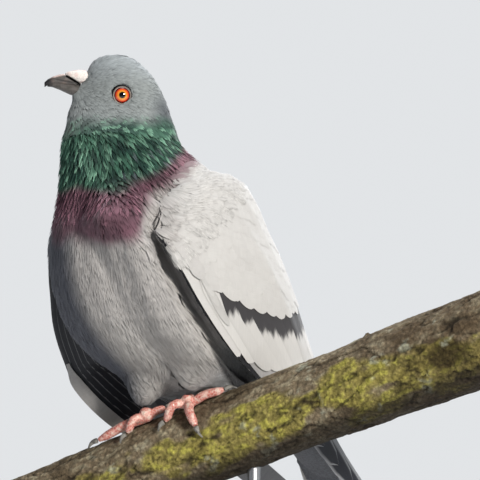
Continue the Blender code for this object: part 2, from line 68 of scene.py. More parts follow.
# The head's frame: its origin is midway between the eyes, g is forward, h up and s to the bird's left.
EYE_LINE = np.array((-0.4, -18.1, 149.9))
HEAD_YAW = math.radians(40)
HEAD_AHEAD = np.array((-math.sin(HEAD_YAW), -math.cos(HEAD_YAW), 0.0))
HEAD_ACROSS = np.array((math.cos(HEAD_YAW), -math.sin(HEAD_YAW), 0.0))
EYE_FORWARD, EYE_RISE, EYE_SIDE = 0.3, -1.2, 8.4
EYE_RADIUS = 5.2
IRIS_RADIUS = 3.45
LID_RADIUS, LID_HALF_WIDTH, LID_HALF_HEIGHT = 4.02, 0.52, 0.42
BILL_MIDDLE = (24.0, 5.0)  # g and h
BILL_ROOT = (13.0, 4.0)  # where the feathers of the face part
NOSTRIL = ((25.4, 8.5), (19.6, 5.0))  # the ends of its slit
CHIN_MIDDLE = (15.0, -1.2)
CHIN_RADIUS, CHIN_HALF_LENGTH = 6.0, 8.8

# The middle line of the body from neck to vent, as (f, v); feathers lie along it.
BODY_LINE = ((18.0, 160.0), (18.0, 140.0), (14.0, 122.0), (10.0, 105.0), (3.0, 88.0), (-5.0, 70.0),
             (-18.0, 52.0), (-34.0, 36.0), (-54.0, 21.0), (-80.0, 6.0), (-110.0, -30.0))

# The tail's upper side starts here and runs down at this angle.
TAIL_START = np.array((0.0, 96.6, 12.2))
TAIL_ANGLE = math.radians(54.5)
TAIL_DOWN = np.array((0.0, math.cos(TAIL_ANGLE), -math.sin(TAIL_ANGLE)))
TAIL_UPPER = np.array((0.0, math.sin(TAIL_ANGLE), math.cos(TAIL_ANGLE)))
TAIL_LENGTH = 106.0
RECTRICES = 12
# The fleshy root of the tail, as (place along the tail, thickness, half width).
TAIL_CORE = ((-9, 20, 12), (6, 18, 13), (20, 12, 13.5), (36, 6.5, 14), (50, 3.0, 14))

# The folded wings' upper and lower edges from wrist to tip, as (x outwards, f, v).
WING_UPPER = ((31, 29, 97), (29, -8, 114), (22, -36, 110), (16, -50.5, 94.5), (14.5, -64, 76.5),
              (14, -75.5, 56), (13.5, -87, 36), (13, -101.5, 15), (14, -117.4, -9.5),
              (17, -133.5, -32.5), (21.5, -148, -54))
WING_LOWER = {
    "left": ((37.5, 39, 87), (45.5, 36.5, 79), (50, 29.5, 66.5), (51, 19.5, 52.5), (49.5, 6, 39.5),
             (46, -12, 26.5), (38.5, -37, 13.5), (34, -58, -6), (28.5, -86, -24.5),
             (26.5, -113, -41.5), (26, -140, -55)),
    "right": ((36, 28, 93), (42, 24, 83), (46, 21, 70), (48.5, 16.5, 57), (50, 13, 44), (49, 8, 30),
              (45, 2, 15.5), (39, -17, -1), (33, -56, -20), (28.5, -98, -38), (26, -140, -55)),
}
WING_ROUNDNESS = 2.15
WING_RIM = 0.035  # feathers end at this a, short of the wing's lower rim, where shadow is painted
WING_SEED = {"left": 70, "right": 80}

# How far the side feathers stand out by each wing's lower edge, and how wide the shadow painted there is,
# as (v, length).
SIDE_PUFF = {"left": ((8, 2.0), (20, 5.0), (30, 9.0), (42, 12.0), (60, 13.0), (78, 15.5), (90, 13.5),
                      (100, 8.0), (110, 0.0)),
             "right": ((8, 3.0), (25, 6.0), (45, 6.0), (60, 4.0), (80, 2.0), (90, 0.0))}
EDGE_SHADOW_WIDTH = {"left": ((6, 18.0), (20, 14.0), (33, 8.5), (42, 5.5), (60, 3.2), (79, 2.2), (87, 1.0)),
             "right": ((0, 14.0), (25, 13.0), (40, 11.0), (60, 8.0), (79, 5.0), (87, 2.0))}

# Where the rows of a wing's feathers and the dark bar end, as (a, p) on the wing.
SHIELD_END = ((0.0, 1.4), (0.05, 2.4), (0.08, 2.9), (0.12, 3.35), (0.18, 3.9), (0.25, 4.3),
              (0.35, 4.72), (0.55, 4.95), (1.0, 5.0))
BAR_END = ((0.0, 1.0), (0.05, 2.0), (0.09, 3.2), (0.125, 3.9), (0.18, 4.5), (0.25, 4.9), (0.4, 5.3),
           (0.7, 5.55), (1.0, 5.6))
COVERT_END = ((0.0, 4.75), (0.05, 5.2), (0.11, 5.55), (0.18, 5.85), (0.36, 6.12), (1.0, 6.15))
SECONDARY_END = ((0, 6.3), (0.1, 6.8), (0.7, 7.4), (1, 6.9))
QUILL_ROWS = ("primaries", "secondaries")
# Where the pale wing coverts start over the shoulder, as (v, distance out and back).
SHOULDER_EDGE = ((60, 12), (105, 12), (109, 14.4), (117, 26), (121, 34))

# The perch's axis.
PERCH_YAW = math.radians(20)
PERCH_SLOPE = math.radians(18.6)
PERCH_MIDDLE = np.array((0.0, 10.0, -18.2))
PERCH_ALONG = np.array((math.cos(PERCH_YAW) * math.cos(PERCH_SLOPE),
                        math.sin(PERCH_YAW) * math.cos(PERCH_SLOPE), math.sin(PERCH_SLOPE)))
PERCH_HOLLOW = (155, -4)  # along the axis, and above it
LICHEN_MIDDLE = (24.0, -18.0, -22.0)

# Feathers in strips: rows from root to tip, and the strips' widths there.
STRIP_ROWS = (0.0, 0.34, 0.62, 0.84, 1.0)
STRIP_WIDTH = (0.8, 1.08, 1.05, 0.72, 0.0)
STRIP_SIDES = ((0, 1), (1, 2), (2, 0))
VANE_ROWS = 10
VANE_COLUMNS = 7
BAKE_PATCH = 0.003  # the size of a feather's own patch in the OFBake map
BARB_SHIFT = 7.3  # how far apart neighbours lie in the map of the barbs
SMOOTH = 180  # degrees: no edge is sharp

# How deep the skin lies: on the head, how much more on the body, round the eye, and in the wings.
HEAD_COAT, MORE_COAT, LID_COAT, WING_COAT = 0.7, 1.5, 0.45, 1.15
WING_REACH = 2.5  # nearer to a folded wing than this, the skin is drawn to it

# Camera and lights, each seen from the bird at an azimuth and an elevation in degrees.
CAMERA_BEARING = (45, -4)
CAMERA_TARGET = (25.63, 5.63, 195.7)
CAMERA_DISTANCE = 1.7988  # metres
KEY_BEARING = (73, 16)
LIGHT_TARGET = Vector((0, 0, 0.2))  # metres
FILL_DISTANCE = 2.0
# Bearing, size in metres, power in watts and colour.
FILLS = {"back_fill": ((205, 25), 1.5, 26, (0.94, 0.97, 1.0)),
         "top_fill": ((215, 72), 1.8, 34, (0.97, 0.98, 1.0))}


# ---------------------------------------------------------------- small tools

def paint(code):
    """A web colour as linear red, green and blue."""
    values = np.array([int(code[i:i + 2], 16) / 255 for i in (1, 3, 5)])
    return np.where(values <= 0.04045, values / 12.92, ((values + 0.055) / 1.055) ** 2.4)


def ease(low, high, value):
    """0 below low, 1 above high, and smooth between."""
    share = np.clip((value - low) / (high - low), 0, 1)
    return share * share * (3 - 2 * share)


def blend(a, b, share):
    """From one colour or way to another; share is an array of one number for each point."""
    share = np.clip(share, 0, 1)[..., None]
    return a * (1 - share) + b * share


def layered(base, *layers):
    """A colour with others laid over it in turn, each with its share. Web codes do as colours."""
    base = paint(base) if isinstance(base, str) else base
    for colour, share in layers:
        base = blend(base, paint(colour) if isinstance(colour, str) else colour, share)
    return base


def unit(vectors):
    return vectors / np.maximum(np.linalg.norm(vectors, axis=-1, keepdims=True), 1e-9)


def square_to(vectors, axes):
    """What is left of vectors across their axes, at length 1."""
    return unit(vectors - (vectors * axes).sum(-1, keepdims=True) * axes)


def columns(points):
    """x, back and up."""
    return points[..., 0], points[..., 1], points[..., 2]


def from_table(table, value):
    """Interpolates in a table of (place, amount)."""
    places, amounts = zip(*table)
    return np.interp(value, places, amounts)


def varied(amount, count, rng):
    """A factor near 1 for each feather."""
    return 1 + amount * rng.standard_normal((count, 1))


def ripple(points, size, seed=0.0):
    """Smooth unevenness from -1 to 1, a few waves with crests about size apart."""
    x, y, z = (points[..., k] * 2 * math.pi / size + seed for k in range(3))
    wave = np.sin(x + 1.7 * np.sin(0.7 * y + seed)) + np.sin(0.9 * y + 1.3 * np.sin(0.8 * z + 2.1))
    return (wave + np.sin(1.1 * z + 1.5 * np.sin(0.6 * x + 4.0))) / 3


def fractal(points, scale, octaves, seed):
    """Uneven noise from about -1 to 1 at points stretched by scale."""
    return np.array([noise.fractal(Vector(place), 0.9, 2.1, octaves, noise_basis="PERLIN_ORIGINAL")
                     for place in (points * scale + seed).tolist()])


def read(items, key, width=1, kind=float):
    """A number from each item of a mesh, or a row of them."""
    values = np.empty(len(items) * width, kind)
    items.foreach_get(key, values)
    return values.reshape(-1, width) if width > 1 else values


def search_tree(points):
    """A tree that finds the nearest of some points."""
    tree = KDTree(len(points))
    for i, point in enumerate(np.asarray(points).tolist()):
        tree.insert(point, i)
    tree.balance()
    return tree


HEAD_SLATE = paint("#949a9a")
CROWN_SLATE = paint("#a0a7aa")
NAPE_INK = paint("#3b4048")
NECK_GREEN = paint("#49725f")
NECK_GREY = paint("#6c6a78")
NECK_DARK = paint("#122b2b")
NECK_BRIGHT = paint("#7ba68f")
NECK_WINE = paint("#8d6472")
NECK_WINE_DARK = paint("#453039")
BREAST = paint("#b8b4b1")
BELLY = paint("#b8b4b0")
# Painted shade for the bird's right flank.
SHADED_RIGHT_FLANK = paint("#3d4353")
BACK_GREY = paint("#a9abad")
RUMP_WHITE = paint("#d8d8d6")
SHIELD = paint("#c8c6c3")
SHIELD_EDGE = paint("#b0adab")
BAR = paint("#3b393b")
QUILL = paint("#5d5f66")
QUILL_DARK = paint("#26272d")
QUILL_EDGE = paint("#a8a9ab")
# Painted shade: near-black for a folded wing's side that faces the body, and for the right wing's edge
# quills.
SHADED_UNDER_WING = paint("#15171f")
# Painted shadow: the band under each folded wing's lower edge, on skin and feathers.
PAINTED_EDGE_SHADOW = paint("#17171c")
TAIL_GREY = paint("#7f838a")
TAIL_BAND = paint("#2d2e33")


# ---------------------------------------------------------------- places on the bird

def head_place(g, h, s=0.0):
    """A place in the head's frame, as a place in the bird's."""
    return EYE_LINE + HEAD_AHEAD * g + HEAD_ACROSS * s + UP * h


def head_coordinates(points):
    """Forward, up and left of the eye line, for an array of points."""
    away = points - EYE_LINE
    return away @ HEAD_AHEAD, away @ UP, away @ HEAD_ACROSS


def eye_distance(points):
    """How far points lie from the nearer eye's axis, in the head's side view."""
    g, h, s = head_coordinates(points)
    return np.hypot(g - EYE_FORWARD, h - EYE_RISE) + 20 * (np.abs(s) < 5)


def segment_distance(g, h, start, end):
    """How far points of the head's side view lie from a line between two places."""
    line = np.array(end) - start
    share = np.clip(((g - start[0]) * line[0] + (h - start[1]) * line[1]) / (line @ line), 0, 1)
    return np.hypot(g - start[0] - share * line[0], h - start[1] - share * line[1])


def by_thighs(points):
    """1 where the belly and the legs' tops run into each other."""
    x, back, up = columns(points)
    return ease(46, 32, up) * ease(36, 20, back) * ease(42, 34, np.abs(x))


def by_wrists(points):
    """1 round the fold between the breast and each wing's wrist."""
    x, back, up = columns(points)
    out, ahead, _ = WING_LOWER["left"][0]
    away = np.hypot(np.abs(x) - out, back + ahead)
    return ease(80, 88, up) * ease(120, 110, up) * ease(20, 12, away)


def from_wing_edge(points, side):
    """How far points lie outside and behind a folded wing's lower edge, and whether on its side."""
    x, back, up = columns(points)
    across, ahead, rise = np.array(WING_LOWER[side], float)[::-1].T
    out = x * HAND[side]
    return out - np.interp(up, rise, across), back + np.interp(up, rise, ahead), out > 0


def painted_edge_shadow(points):
    """1 where shadow is painted under each folded wing's lower edge, 0 away from it."""
    gap = np.zeros(points.shape[:-1])
    up = points[..., 2]
    for side in HAND:
        out, behind, own = from_wing_edge(points, side)
        near = ease(1.0, 0.8, np.hypot(out, behind) / from_table(EDGE_SHADOW_WIDTH[side], up)) * ease(90, 84, up)
        gap = np.maximum(gap, near * own)
    return gap


def neck_edges(points):
    """The heights at which the green and the wine of the neck end below."""
    x, back = np.abs(points[..., 0]), points[..., 1]
    green_edge = 126.9 - 0.165 * x + 0.473 * np.minimum(back, 5)
    wine_edge = 135.4 - 0.288 * x + 1.084 * back + 5 * ease(14, 34, x) * ease(-10, -30, back)
    return green_edge, np.minimum(wine_edge, green_edge - 6)


def curve(stations, place):
    """Catmull-Rom through equally spaced stations, for an array of places."""
    stations = np.asarray(stations, float)
    last = len(stations) - 1
    i = np.clip(np.floor(place).astype(int), 0, last - 1)
    t = (place - i)[..., None]
    a, b, c, d = (stations[np.clip(i + k, 0, last)] for k in (-1, 0, 1, 2))
    bend, twist = 2 * a - 5 * b + 4 * c - d, 3 * b - a - 3 * c + d
    return 0.5 * (2 * b + (c - a) * t + bend * t**2 + twist * t**3)


def wing_place(side, p, a):
    """The wing's outer side: p counts stations from wrist to tip, a runs from lower to upper edge."""
    high = curve(WING_UPPER, p)
    low = curve(WING_LOWER[side], p)
    turn = np.clip(a, 0, 1) * math.pi / 2
    out = np.cos(turn) ** (2 / WING_ROUNDNESS)
    rise = np.sin(turn) ** (2 / WING_ROUNDNESS)
    x = high[..., 0] + (low[..., 0] - high[..., 0]) * out
    rest = low[..., 1:] + (high[..., 1:] - low[..., 1:]) * rise[..., None]
    return np.stack([x * HAND[side], -rest[..., 0], rest[..., 1]], -1)


def run_along(places):
    """The length of a path up to each of its places."""
    return np.concatenate([[0], np.cumsum(np.linalg.norm(np.diff(places, axis=0), axis=1))])


def station_behind(side, p, a, length):
    """How far back along the wing a feather's root lies from its tip at p."""
    roots = []
    for tip, turn, reach in zip(p, a, length):
        stations = np.linspace(tip, tip - 5, 60)
        run = run_along(wing_place(side, stations, np.full(60, turn)))
        roots.append(np.interp(reach, run, stations))
    return np.array(roots)


def even_turns(side, p, count):
    """Values of a that part the wing's section at p into equal lengths."""
    a = np.linspace(0, 1, 200)
    run = run_along(wing_place(side, np.full(200, float(p)), a))
    return np.interp((np.arange(count) + 0.5) / count * run[-1], run, a)


def rim_room(side, p, a):
    """The length along the wing's section from a feather's middle to the lower rim."""
    turns = WING_RIM + (a[:, None] - WING_RIM) * np.linspace(0, 1, 12)
    places = wing_place(side, np.repeat(p[:, None], 12, axis=1), turns)
    return np.maximum(np.linalg.norm(np.diff(places, axis=1), axis=2).sum(1), 0.3)


# ---------------------------------------------------------------- surfaces to lay feathers on

def node_arrays(name):
    """A CAD node's points in the bird's frame, and its faces."""
    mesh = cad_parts[name].data
    return read(mesh.vertices, "co", 3) / MM - GRIP, [tuple(face.vertices) for face in mesh.polygons]


def joined(parts):
    """Several (points, faces) as one."""
    points, faces, start = [], [], 0
    for part_points, part_faces in parts:
        points.append(np.asarray(part_points))
        faces += [tuple(i + start for i in face) for face in part_faces]
        start += len(part_points)
    return np.concatenate(points), faces


def neighbour_step(quads, total):
    """A function that gives each point's way to the middle of its neighbours."""
    ends = np.concatenate([quads[:, [k, (k + 1) % 4]] for k in range(4)])
    ends = np.concatenate([ends, ends[:, ::-1]])
    count = np.maximum(np.bincount(ends[:, 0], minlength=total), 1)[:, None]

    def step(points):
        sums = [np.bincount(ends[:, 0], points[ends[:, 1], k], total) for k in range(3)]
        return np.stack(sums, 1) / count - points

    return step


def low_pass(points, quads, rounds):
    """Smooths a mesh of quads and keeps its volume."""
    step = neighbour_step(quads, len(points))
    for _ in range(rounds):
        points = points + step(points) * 0.5
        points = points - step(points) * 0.53
    return points


def vertex_normals(points, quads):
    a, b, c, d = (points[quads[:, k]] for k in range(4))
    faces = np.cross(c - a, d - b)
    sums = [np.bincount(quads.ravel(), np.repeat(faces[:, k], 4), len(points)) for k in range(3)]
    return unit(np.stack(sums, 1))


class Surface:
    """A closed surface of small quads round some solids, with a search for its nearest place."""

    def __init__(self, names, voxel, rounds, *extra):
        points, faces = joined([node_arrays(name) for name in names] + list(extra))
        mesh = bpy.data.meshes.new("work")
        mesh.from_pydata(points.tolist(), [], faces)
        work = bpy.data.objects.new("work", mesh)
        bpy.context.scene.collection.objects.link(work)
        remesh = work.modifiers.new("voxels", "REMESH")
        remesh.mode = "VOXEL"
        remesh.voxel_size = voxel
        bpy.context.view_layer.update()
        made = bpy.data.meshes.new_from_object(work.evaluated_get(bpy.context.evaluated_depsgraph_get()))
        self.quads = read(made.loops, "vertex_index", kind=int).reshape(-1, 4)
        self.points = low_pass(read(made.vertices, "co", 3), self.quads, rounds)
        bpy.data.objects.remove(work)
        bpy.data.meshes.remove(mesh)
        bpy.data.meshes.remove(made)
        self.settle()

    def settle(self):
        """Works out normals and the search tree again after the points have moved."""
        self.normals = vertex_normals(self.points, self.quads)
        self.tree = BVHTree.FromPolygons(self.points.tolist(), self.quads.tolist())

    def snap(self, places):
        """The nearest places on the surface, and the smooth normals there."""
        hits = [self.tree.find_nearest(p) for p in places.reshape(-1, 3).tolist()]
        found = np.array([hit[0] for hit in hits])
        normals = unit(self.normals[self.quads[[hit[2] for hit in hits]]].mean(1))
        return found.reshape(places.shape), normals.reshape(places.shape)

    def melt(self, share, rounds):
        """Evens the surface out where share is above 0."""
        step = neighbour_step(self.quads, len(self.points))
        for _ in range(rounds):
            self.points = self.points + step(self.points) * 0.5 * share[:, None]
        self.settle()

    def puff_sides(self, share=1.0):
        """Lets the side feathers stand out to meet the folded wings' lower edges."""
        up = self.points[:, 2]
        push = np.zeros(len(up))
        for side in HAND:
            out, behind, own = from_wing_edge(self.points, side)
            near = ease(38, 13, np.hypot(out, behind)) * ease(10, 0, behind) * own
            push = push + from_table(SIDE_PUFF[side], up) * near
        self.points = self.points + self.normals * (push * share)[:, None]
        self.points = low_pass(self.points, self.quads, 4)
        self.settle()

    def clear_of(self, points, reach):
        """1 for points further than reach from the surface, 0 for nearer ones."""
        return np.array([self.tree.find_nearest(p, reach)[0] is None for p in points.tolist()], float)


def scatter(surface, spacing, keep, tries, seed):
    """Roots on a surface, at least spacing(points) apart, where keep(points, normals) holds."""
    rng = np.random.default_rng(seed)
    corners = surface.points[surface.quads]
    area = np.linalg.norm(np.cross(corners[:, 2] - corners[:, 0], corners[:, 3] - corners[:, 1]), axis=1)
    area = area * keep(corners.mean(1), surface.normals[surface.quads].mean(1))
    pick = rng.choice(len(area), tries, p=area / area.sum())
    s, t = rng.random((2, tries, 1))
    share = np.stack([(1 - s) * (1 - t), s * (1 - t), s * t, (1 - s) * t], 1)
    points = (corners[pick] * share).sum(1)
    normals = unit((surface.normals[surface.quads[pick]] * share).sum(1))
    reach = spacing(points)
    tree = search_tree(points)
    free = np.ones(tries, bool)
    chosen = []
    for i, point in enumerate(points.tolist()):
        if free[i]:
            chosen.append(i)
            for _, j, _ in tree.find_range(point, reach[i]):
                free[j] = False
    return points[chosen], normals[chosen]


def evenly(spacing):
    """A spacing for scatter that is the same everywhere."""
    return lambda points: np.full(len(points), spacing)


def turned(middle, axis, profile, count, capped=False):
    """Rings round an axis from (radius, height) pairs, and the faces between them."""
    side = unit(np.cross(axis, UP))
    over = np.cross(side, axis)
    turns = np.arange(count) / count * 2 * math.pi
    spokes = np.cos(turns)[:, None] * side + np.sin(turns)[:, None] * over
    points = np.concatenate([middle + axis * height + spokes * radius for radius, height in profile])
    faces = []
    for a in range(0, len(points) - count, count):
        for i in range(count):
            j = (i + 1) % count
            faces.append((a + i, a + j, a + count + j, a + count + i))
    if capped:
        faces += [tuple(range(count - 1, -1, -1)), tuple(range(len(points) - count, len(points)))]
    return points, faces


def chin():
    """A round swelling under the bill, which the short feathers of the chin cover."""
    profile = [(CHIN_RADIUS * math.sin(t), CHIN_HALF_LENGTH * math.cos(t))
               for t in np.linspace(0.12, math.pi - 0.12, 12)]
    return turned(head_place(*CHIN_MIDDLE), unit(HEAD_AHEAD + 0.3 * UP), profile, 24, capped=True)


def tail_core():
    """The fleshy root of the tail, inside its coverts."""
    count = 16
    turns = np.arange(count) / count * 2 * math.pi
    rings = []
    for down, thick, half in TAIL_CORE:
        middle = TAIL_START + TAIL_DOWN * down - TAIL_UPPER * (13.2 if down < 8 else thick / 2 + 2.2)
        ring = middle + np.cos(turns)[:, None] * TAIL_UPPER * thick / 2
        rings.append(ring + np.sin(turns)[:, None] * np.array((half, 0, 0)))
    last = count * (len(rings) - 1)
    faces = [tuple(range(count)), tuple(range(last + count - 1, last - 1, -1))]
    for a in range(0, last, count):
        for i in range(count):
            j = (i + 1) % count
            faces.append((a + i, a + count + i, a + count + j, a + j))
    return np.concatenate(rings), faces


# ---------------------------------------------------------------- meshes

def new_object(name, points, faces, look, tint=None, sharp=50, copies=1):
    """A piece from points in millimetres. The same faces serve each of its copies in turn.

    tint keeps a colour for each point, which the materials read as Tint.
    """
    corners = np.array([i for face in faces for i in face])
    corners = (corners + np.arange(copies)[:, None] * (len(points) // copies)).ravel()
    sizes = np.tile([len(face) for face in faces], copies)
    mesh = bpy.data.meshes.new(name)
    mesh.vertices.add(len(points))
    mesh.vertices.foreach_set("co", ((points + GRIP) * MM).ravel())
    mesh.loops.add(len(corners))
    mesh.loops.foreach_set("vertex_index", corners)
    mesh.polygons.add(len(sizes))
    mesh.polygons.foreach_set("loop_start", np.cumsum(sizes) - sizes)
    mesh.update(calc_edges=True)
    mesh.validate()
    mesh.shade_smooth()
    mesh.set_sharp_from_angle(angle=math.radians(sharp))
    mesh.materials.append(look)
    if tint is not None:
        rows = np.ones((len(tint), 4))
        rows[:, :3] = np.clip(tint, 0, 1)
        mesh.attributes.new("Tint", "FLOAT_COLOR", "POINT").data.foreach_set("color", rows.ravel())
    made = bpy.data.objects.new(name, mesh)
    bpy.context.scene.collection.objects.link(made)
    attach(made, "root")
    return made


def set_map(obj, name, places):
    """A UV map from one pair of numbers for each point."""
    layer = obj.data.uv_layers.new(name=name)
    layer.data.foreach_set("uv", places[read(obj.data.loops, "vertex_index", kind=int)].ravel())


def strip_faces(strips, rows):
    """Faces of a feather in strips, each a thin closed ridge that runs out to a point."""
    faces = []
    for strip in range(strips):
        start = strip * (3 * (rows - 1) + 1)
        tip = start + 3 * (rows - 1)
        faces.append((start + 2, start + 1, start))
        for a in range(start, tip - 3, 3):
            faces += [(a + k, a + m, a + m + 3, a + k + 3) for k, m in STRIP_SIDES]
        faces += [(tip - 3 + k, tip - 3 + m, tip) for k, m in STRIP_SIDES]
    return faces


def vane_faces(rows):
    """Faces of a closed vane: a crowned upper side and a flat under side."""
    faces = [tuple(range(VANE_COLUMNS - 1, -1, -1))]
    for a in range(0, (rows - 1) * VANE_COLUMNS, VANE_COLUMNS):
        b = a + VANE_COLUMNS
        faces += [(a + c, a + c + 1, b + c + 1, b + c) for c in range(VANE_COLUMNS - 1)]
        faces.append((b - 1, a, b, b + VANE_COLUMNS - 1))
    faces.append(tuple(range((rows - 1) * VANE_COLUMNS, rows * VANE_COLUMNS)))
    return faces


def vane_grid(rows):
    """For a vane with rows at these places, each point's place along it and across it."""
    edge = np.tile(np.linspace(-1, 1, VANE_COLUMNS), len(rows))
    return np.repeat(rows, VANE_COLUMNS)[None, :], edge[None, :]


def round_tip(t, start, squareness=2.0):
    """A vane's half width along its length, full up to start and then rounded off."""
    over = np.clip((t - start) / (1 - start), 0, 1)
    return (1 - over ** squareness) ** (1 / squareness)


def lay(surface, centre, ahead, lateral, height):
    """Points beside a line on a surface: lateral to its right, seen from outside, and height above it."""
    _, normals = surface.snap(centre)
    side = unit(np.cross(ahead, normals))
    place, normals = surface.snap(centre + side * lateral[..., None])
    return place + normals * height[..., None]


def finish_feathers(name, points, faces, tint, barbs, place, unwrap, look):
    """Joins feathers into one piece, with a map of the barbs and one for baking.

    barbs holds each point's lengths across and along the barbs, place its place across and along its
    feather, and unwrap where each feather's patch lies in the second map.
    """
    copies, each = points.shape[:2]
    tint = np.broadcast_to(tint, points.shape).reshape(-1, 3)
    made = new_object(name, points.reshape(-1, 3), faces, look, tint, copies=copies)
    fine, slow, across, along = (np.broadcast_to(v, (copies, each)) for v in (*barbs, *place))
    shift = np.arange(copies)[:, None] * BARB_SHIFT
    set_map(made, "Vane", np.stack([fine + shift, slow], -1).reshape(-1, 2))
    patch = np.stack([across * 0.5, along - 0.5], -1) * BAKE_PATCH
    set_map(made, "OFBake", (unwrap[:, None, :] + patch).reshape(-1, 2))
    return made


def strip_feathers(name, surface, roots, ways, length, width, unwrap, colour, look, slot, seed,
                   strips, depth, lift, rounded=0.22, pointed=0.0, arch=0.16, crown=0.25, fray=0.08,
                   envelope=(0.5, 0.9, 1.0, 0.95, 0.9), streak=0.1, vary=0.06, stray=0.5):
    """Small soft feathers. Each one is a fan of barb strips that come apart towards its tip.

    depth is how deep the roots lie and lift how high the tips stand. arch is the ridge of each strip,
    and crown the fall of the feather to its sides. Strips differ in length by fray and in tone by
    streak, and feathers in tone by vary. envelope is the feather's width at each row of points.
    Feathers that a fold of the surface bends aside by more than stray of their length are left out.
    """
    rng = np.random.default_rng(seed)
    count, rows = len(roots), len(STRIP_ROWS)
    grid = (count, strips, rows, 3)
    per_feather, per_strip = (count, 1, 1, 1), (count, strips, 1, 1)
    t, shape, wide = (np.broadcast_to(np.array(values)[:, None], grid)
                      for values in (STRIP_ROWS, envelope, STRIP_WIDTH))
    middle = (np.arange(strips) + 0.5) / strips * 2 - 1
    reach = 1 - rounded * middle ** 2 - pointed * np.abs(middle)
    reach = reach[None, :] * (1 + fray * rng.standard_normal((count, strips)))
    middle = middle[:, None, None]
    edge = np.array((-1.0, 0.0, 1.0))
    drift = rng.standard_normal(per_strip) * 0.5 / strips * t ** 2
    lateral = (middle * (1 - 0.5 / strips) + drift) * shape
    lateral = lateral + edge * (wide / strips) * shape
    along = t * reach[:, :, None, None]
    tilt = rng.standard_normal(per_feather) * 0.12
    height = -depth + (depth + lift) * along - crown * lateral ** 2 + tilt * lateral
    height = height + arch * (edge == 0) * (wide > 0)
    height = height + rng.standard_normal(per_strip) * 0.07 * t
    height = height + rng.standard_normal(per_feather) * 0.1
    lateral = np.where(wide > 0, lateral, middle * shape + drift * shape)

    def cut(values):
        """Each strip's last row is one point."""
        flat = np.broadcast_to(values, grid).reshape(count, strips, -1)
        return flat[:, :, :3 * (rows - 1) + 1].reshape(count, -1)

    across, along, height, t = cut(lateral), cut(along), cut(height), cut(t)
    side_way = across * width[:, None]
    run = along * length[:, None]
    centre = roots[:, None, :] + ways[:, None, :] * run[..., None]
    ahead = np.broadcast_to(ways[:, None, :], centre.shape)
    points = lay(surface, centre, ahead, side_way, height)
    tone = varied(vary, count, rng)
    tone = tone * (1 + streak * cut(rng.standard_normal(per_strip)))
    astray = np.linalg.norm(points - centre, axis=2) - np.abs(side_way) - np.abs(height)
    fit = astray.max(1) < stray * length
    points, side_way, run, across, along, t, tone = (
        values[fit] for values in (points, side_way, run, across, along, t, tone))
    tint = colour(points, t, rng) * (tone * (0.74 + 0.3 * t))[..., None]
    return finish_feathers(name, points, strip_faces(strips, rows), tint, (side_way, run),
                           (across, along), unwrap[fit], look)


def wing_feathers(name, side, surface, p, a, length, width, height, colour, look, slot, seed,
                  tip_start, roll, rise, crown, lean=0.0, fray=0.0, squareness=2.0, rows=VANE_ROWS,
                  first=-9.0):
    """Firm vanes on a wing, with their tips at p and a.

    From root to tip a changes by lean and the vane comes up by rise. roll lifts its leading side and
    crown is the fall to both sides. The tip narrows from tip_start on. No root lies before first.
    """
    rng = np.random.default_rng(seed)
    count = len(p)
    length, width, height = (np.broadcast_to(values, count) for values in (length, width, height))
    root_p = np.maximum(station_behind(side, p, a, length), first)
    t, edge = vane_grid(1 - (1 - np.linspace(0, 1, rows)) ** 1.35)
    leading = edge * HAND[side]
    shape = (0.35 + 0.65 * ease(0, 0.35, t)) * np.maximum(round_tip(t, tip_start, squareness), 0.06)
    notch = np.tile(rng.random((count, VANE_COLUMNS)), (1, rows))
    along = t * (1 - fray * notch * ease(0.7, 1.0, t))
    here_p = root_p[:, None] + (p - root_p)[:, None] * along
    here_a = a[:, None] + lean * (along - 1)
    centre = wing_place(side, here_p, here_a)
    ahead = wing_place(side, here_p + 0.03, here_a + lean * 0.03 / np.maximum(p - root_p, 0.1)[:, None])
    ahead = unit(ahead - centre)
    lateral = edge * shape * width[:, None]
    held = np.sign(lateral) * np.minimum(np.abs(lateral), rim_room(side, p, a)[:, None])
    lateral = np.where(leading > 0, held, lateral)
    up = height[:, None] - rise * (1 - along) + roll * leading * shape - crown * edge ** 2 * shape
    up = up + rng.standard_normal((count, 1)) * 0.06
    points = lay(surface, centre, ahead, lateral, up)
    run = along * length[:, None]
    unwrap = np.stack([0.05 + 0.9 * np.clip(a, 0, 1), 0.05 + 0.09 * np.clip(p, 0, 10)], -1)
    return finish_feathers(name, points, vane_faces(rows), colour(here_p, here_a, t, leading, rng),
                           (run - np.abs(lateral) * 1.1, lateral), (edge, along), unwrap, look)


# ---------------------------------------------------------------- materials

def node(tree, kind, links=None, **settings):
    """A shader node. links maps its sockets to values or to other nodes' outputs."""
    made = tree.nodes.new(kind)
    for key, value in settings.items():
        setattr(made, key, value)
    for key, value in (links or {}).items():
        if isinstance(value, bpy.types.NodeSocket):
            tree.links.new(value, made.inputs[key])
        else:
            made.inputs[key].default_value = value
    return made


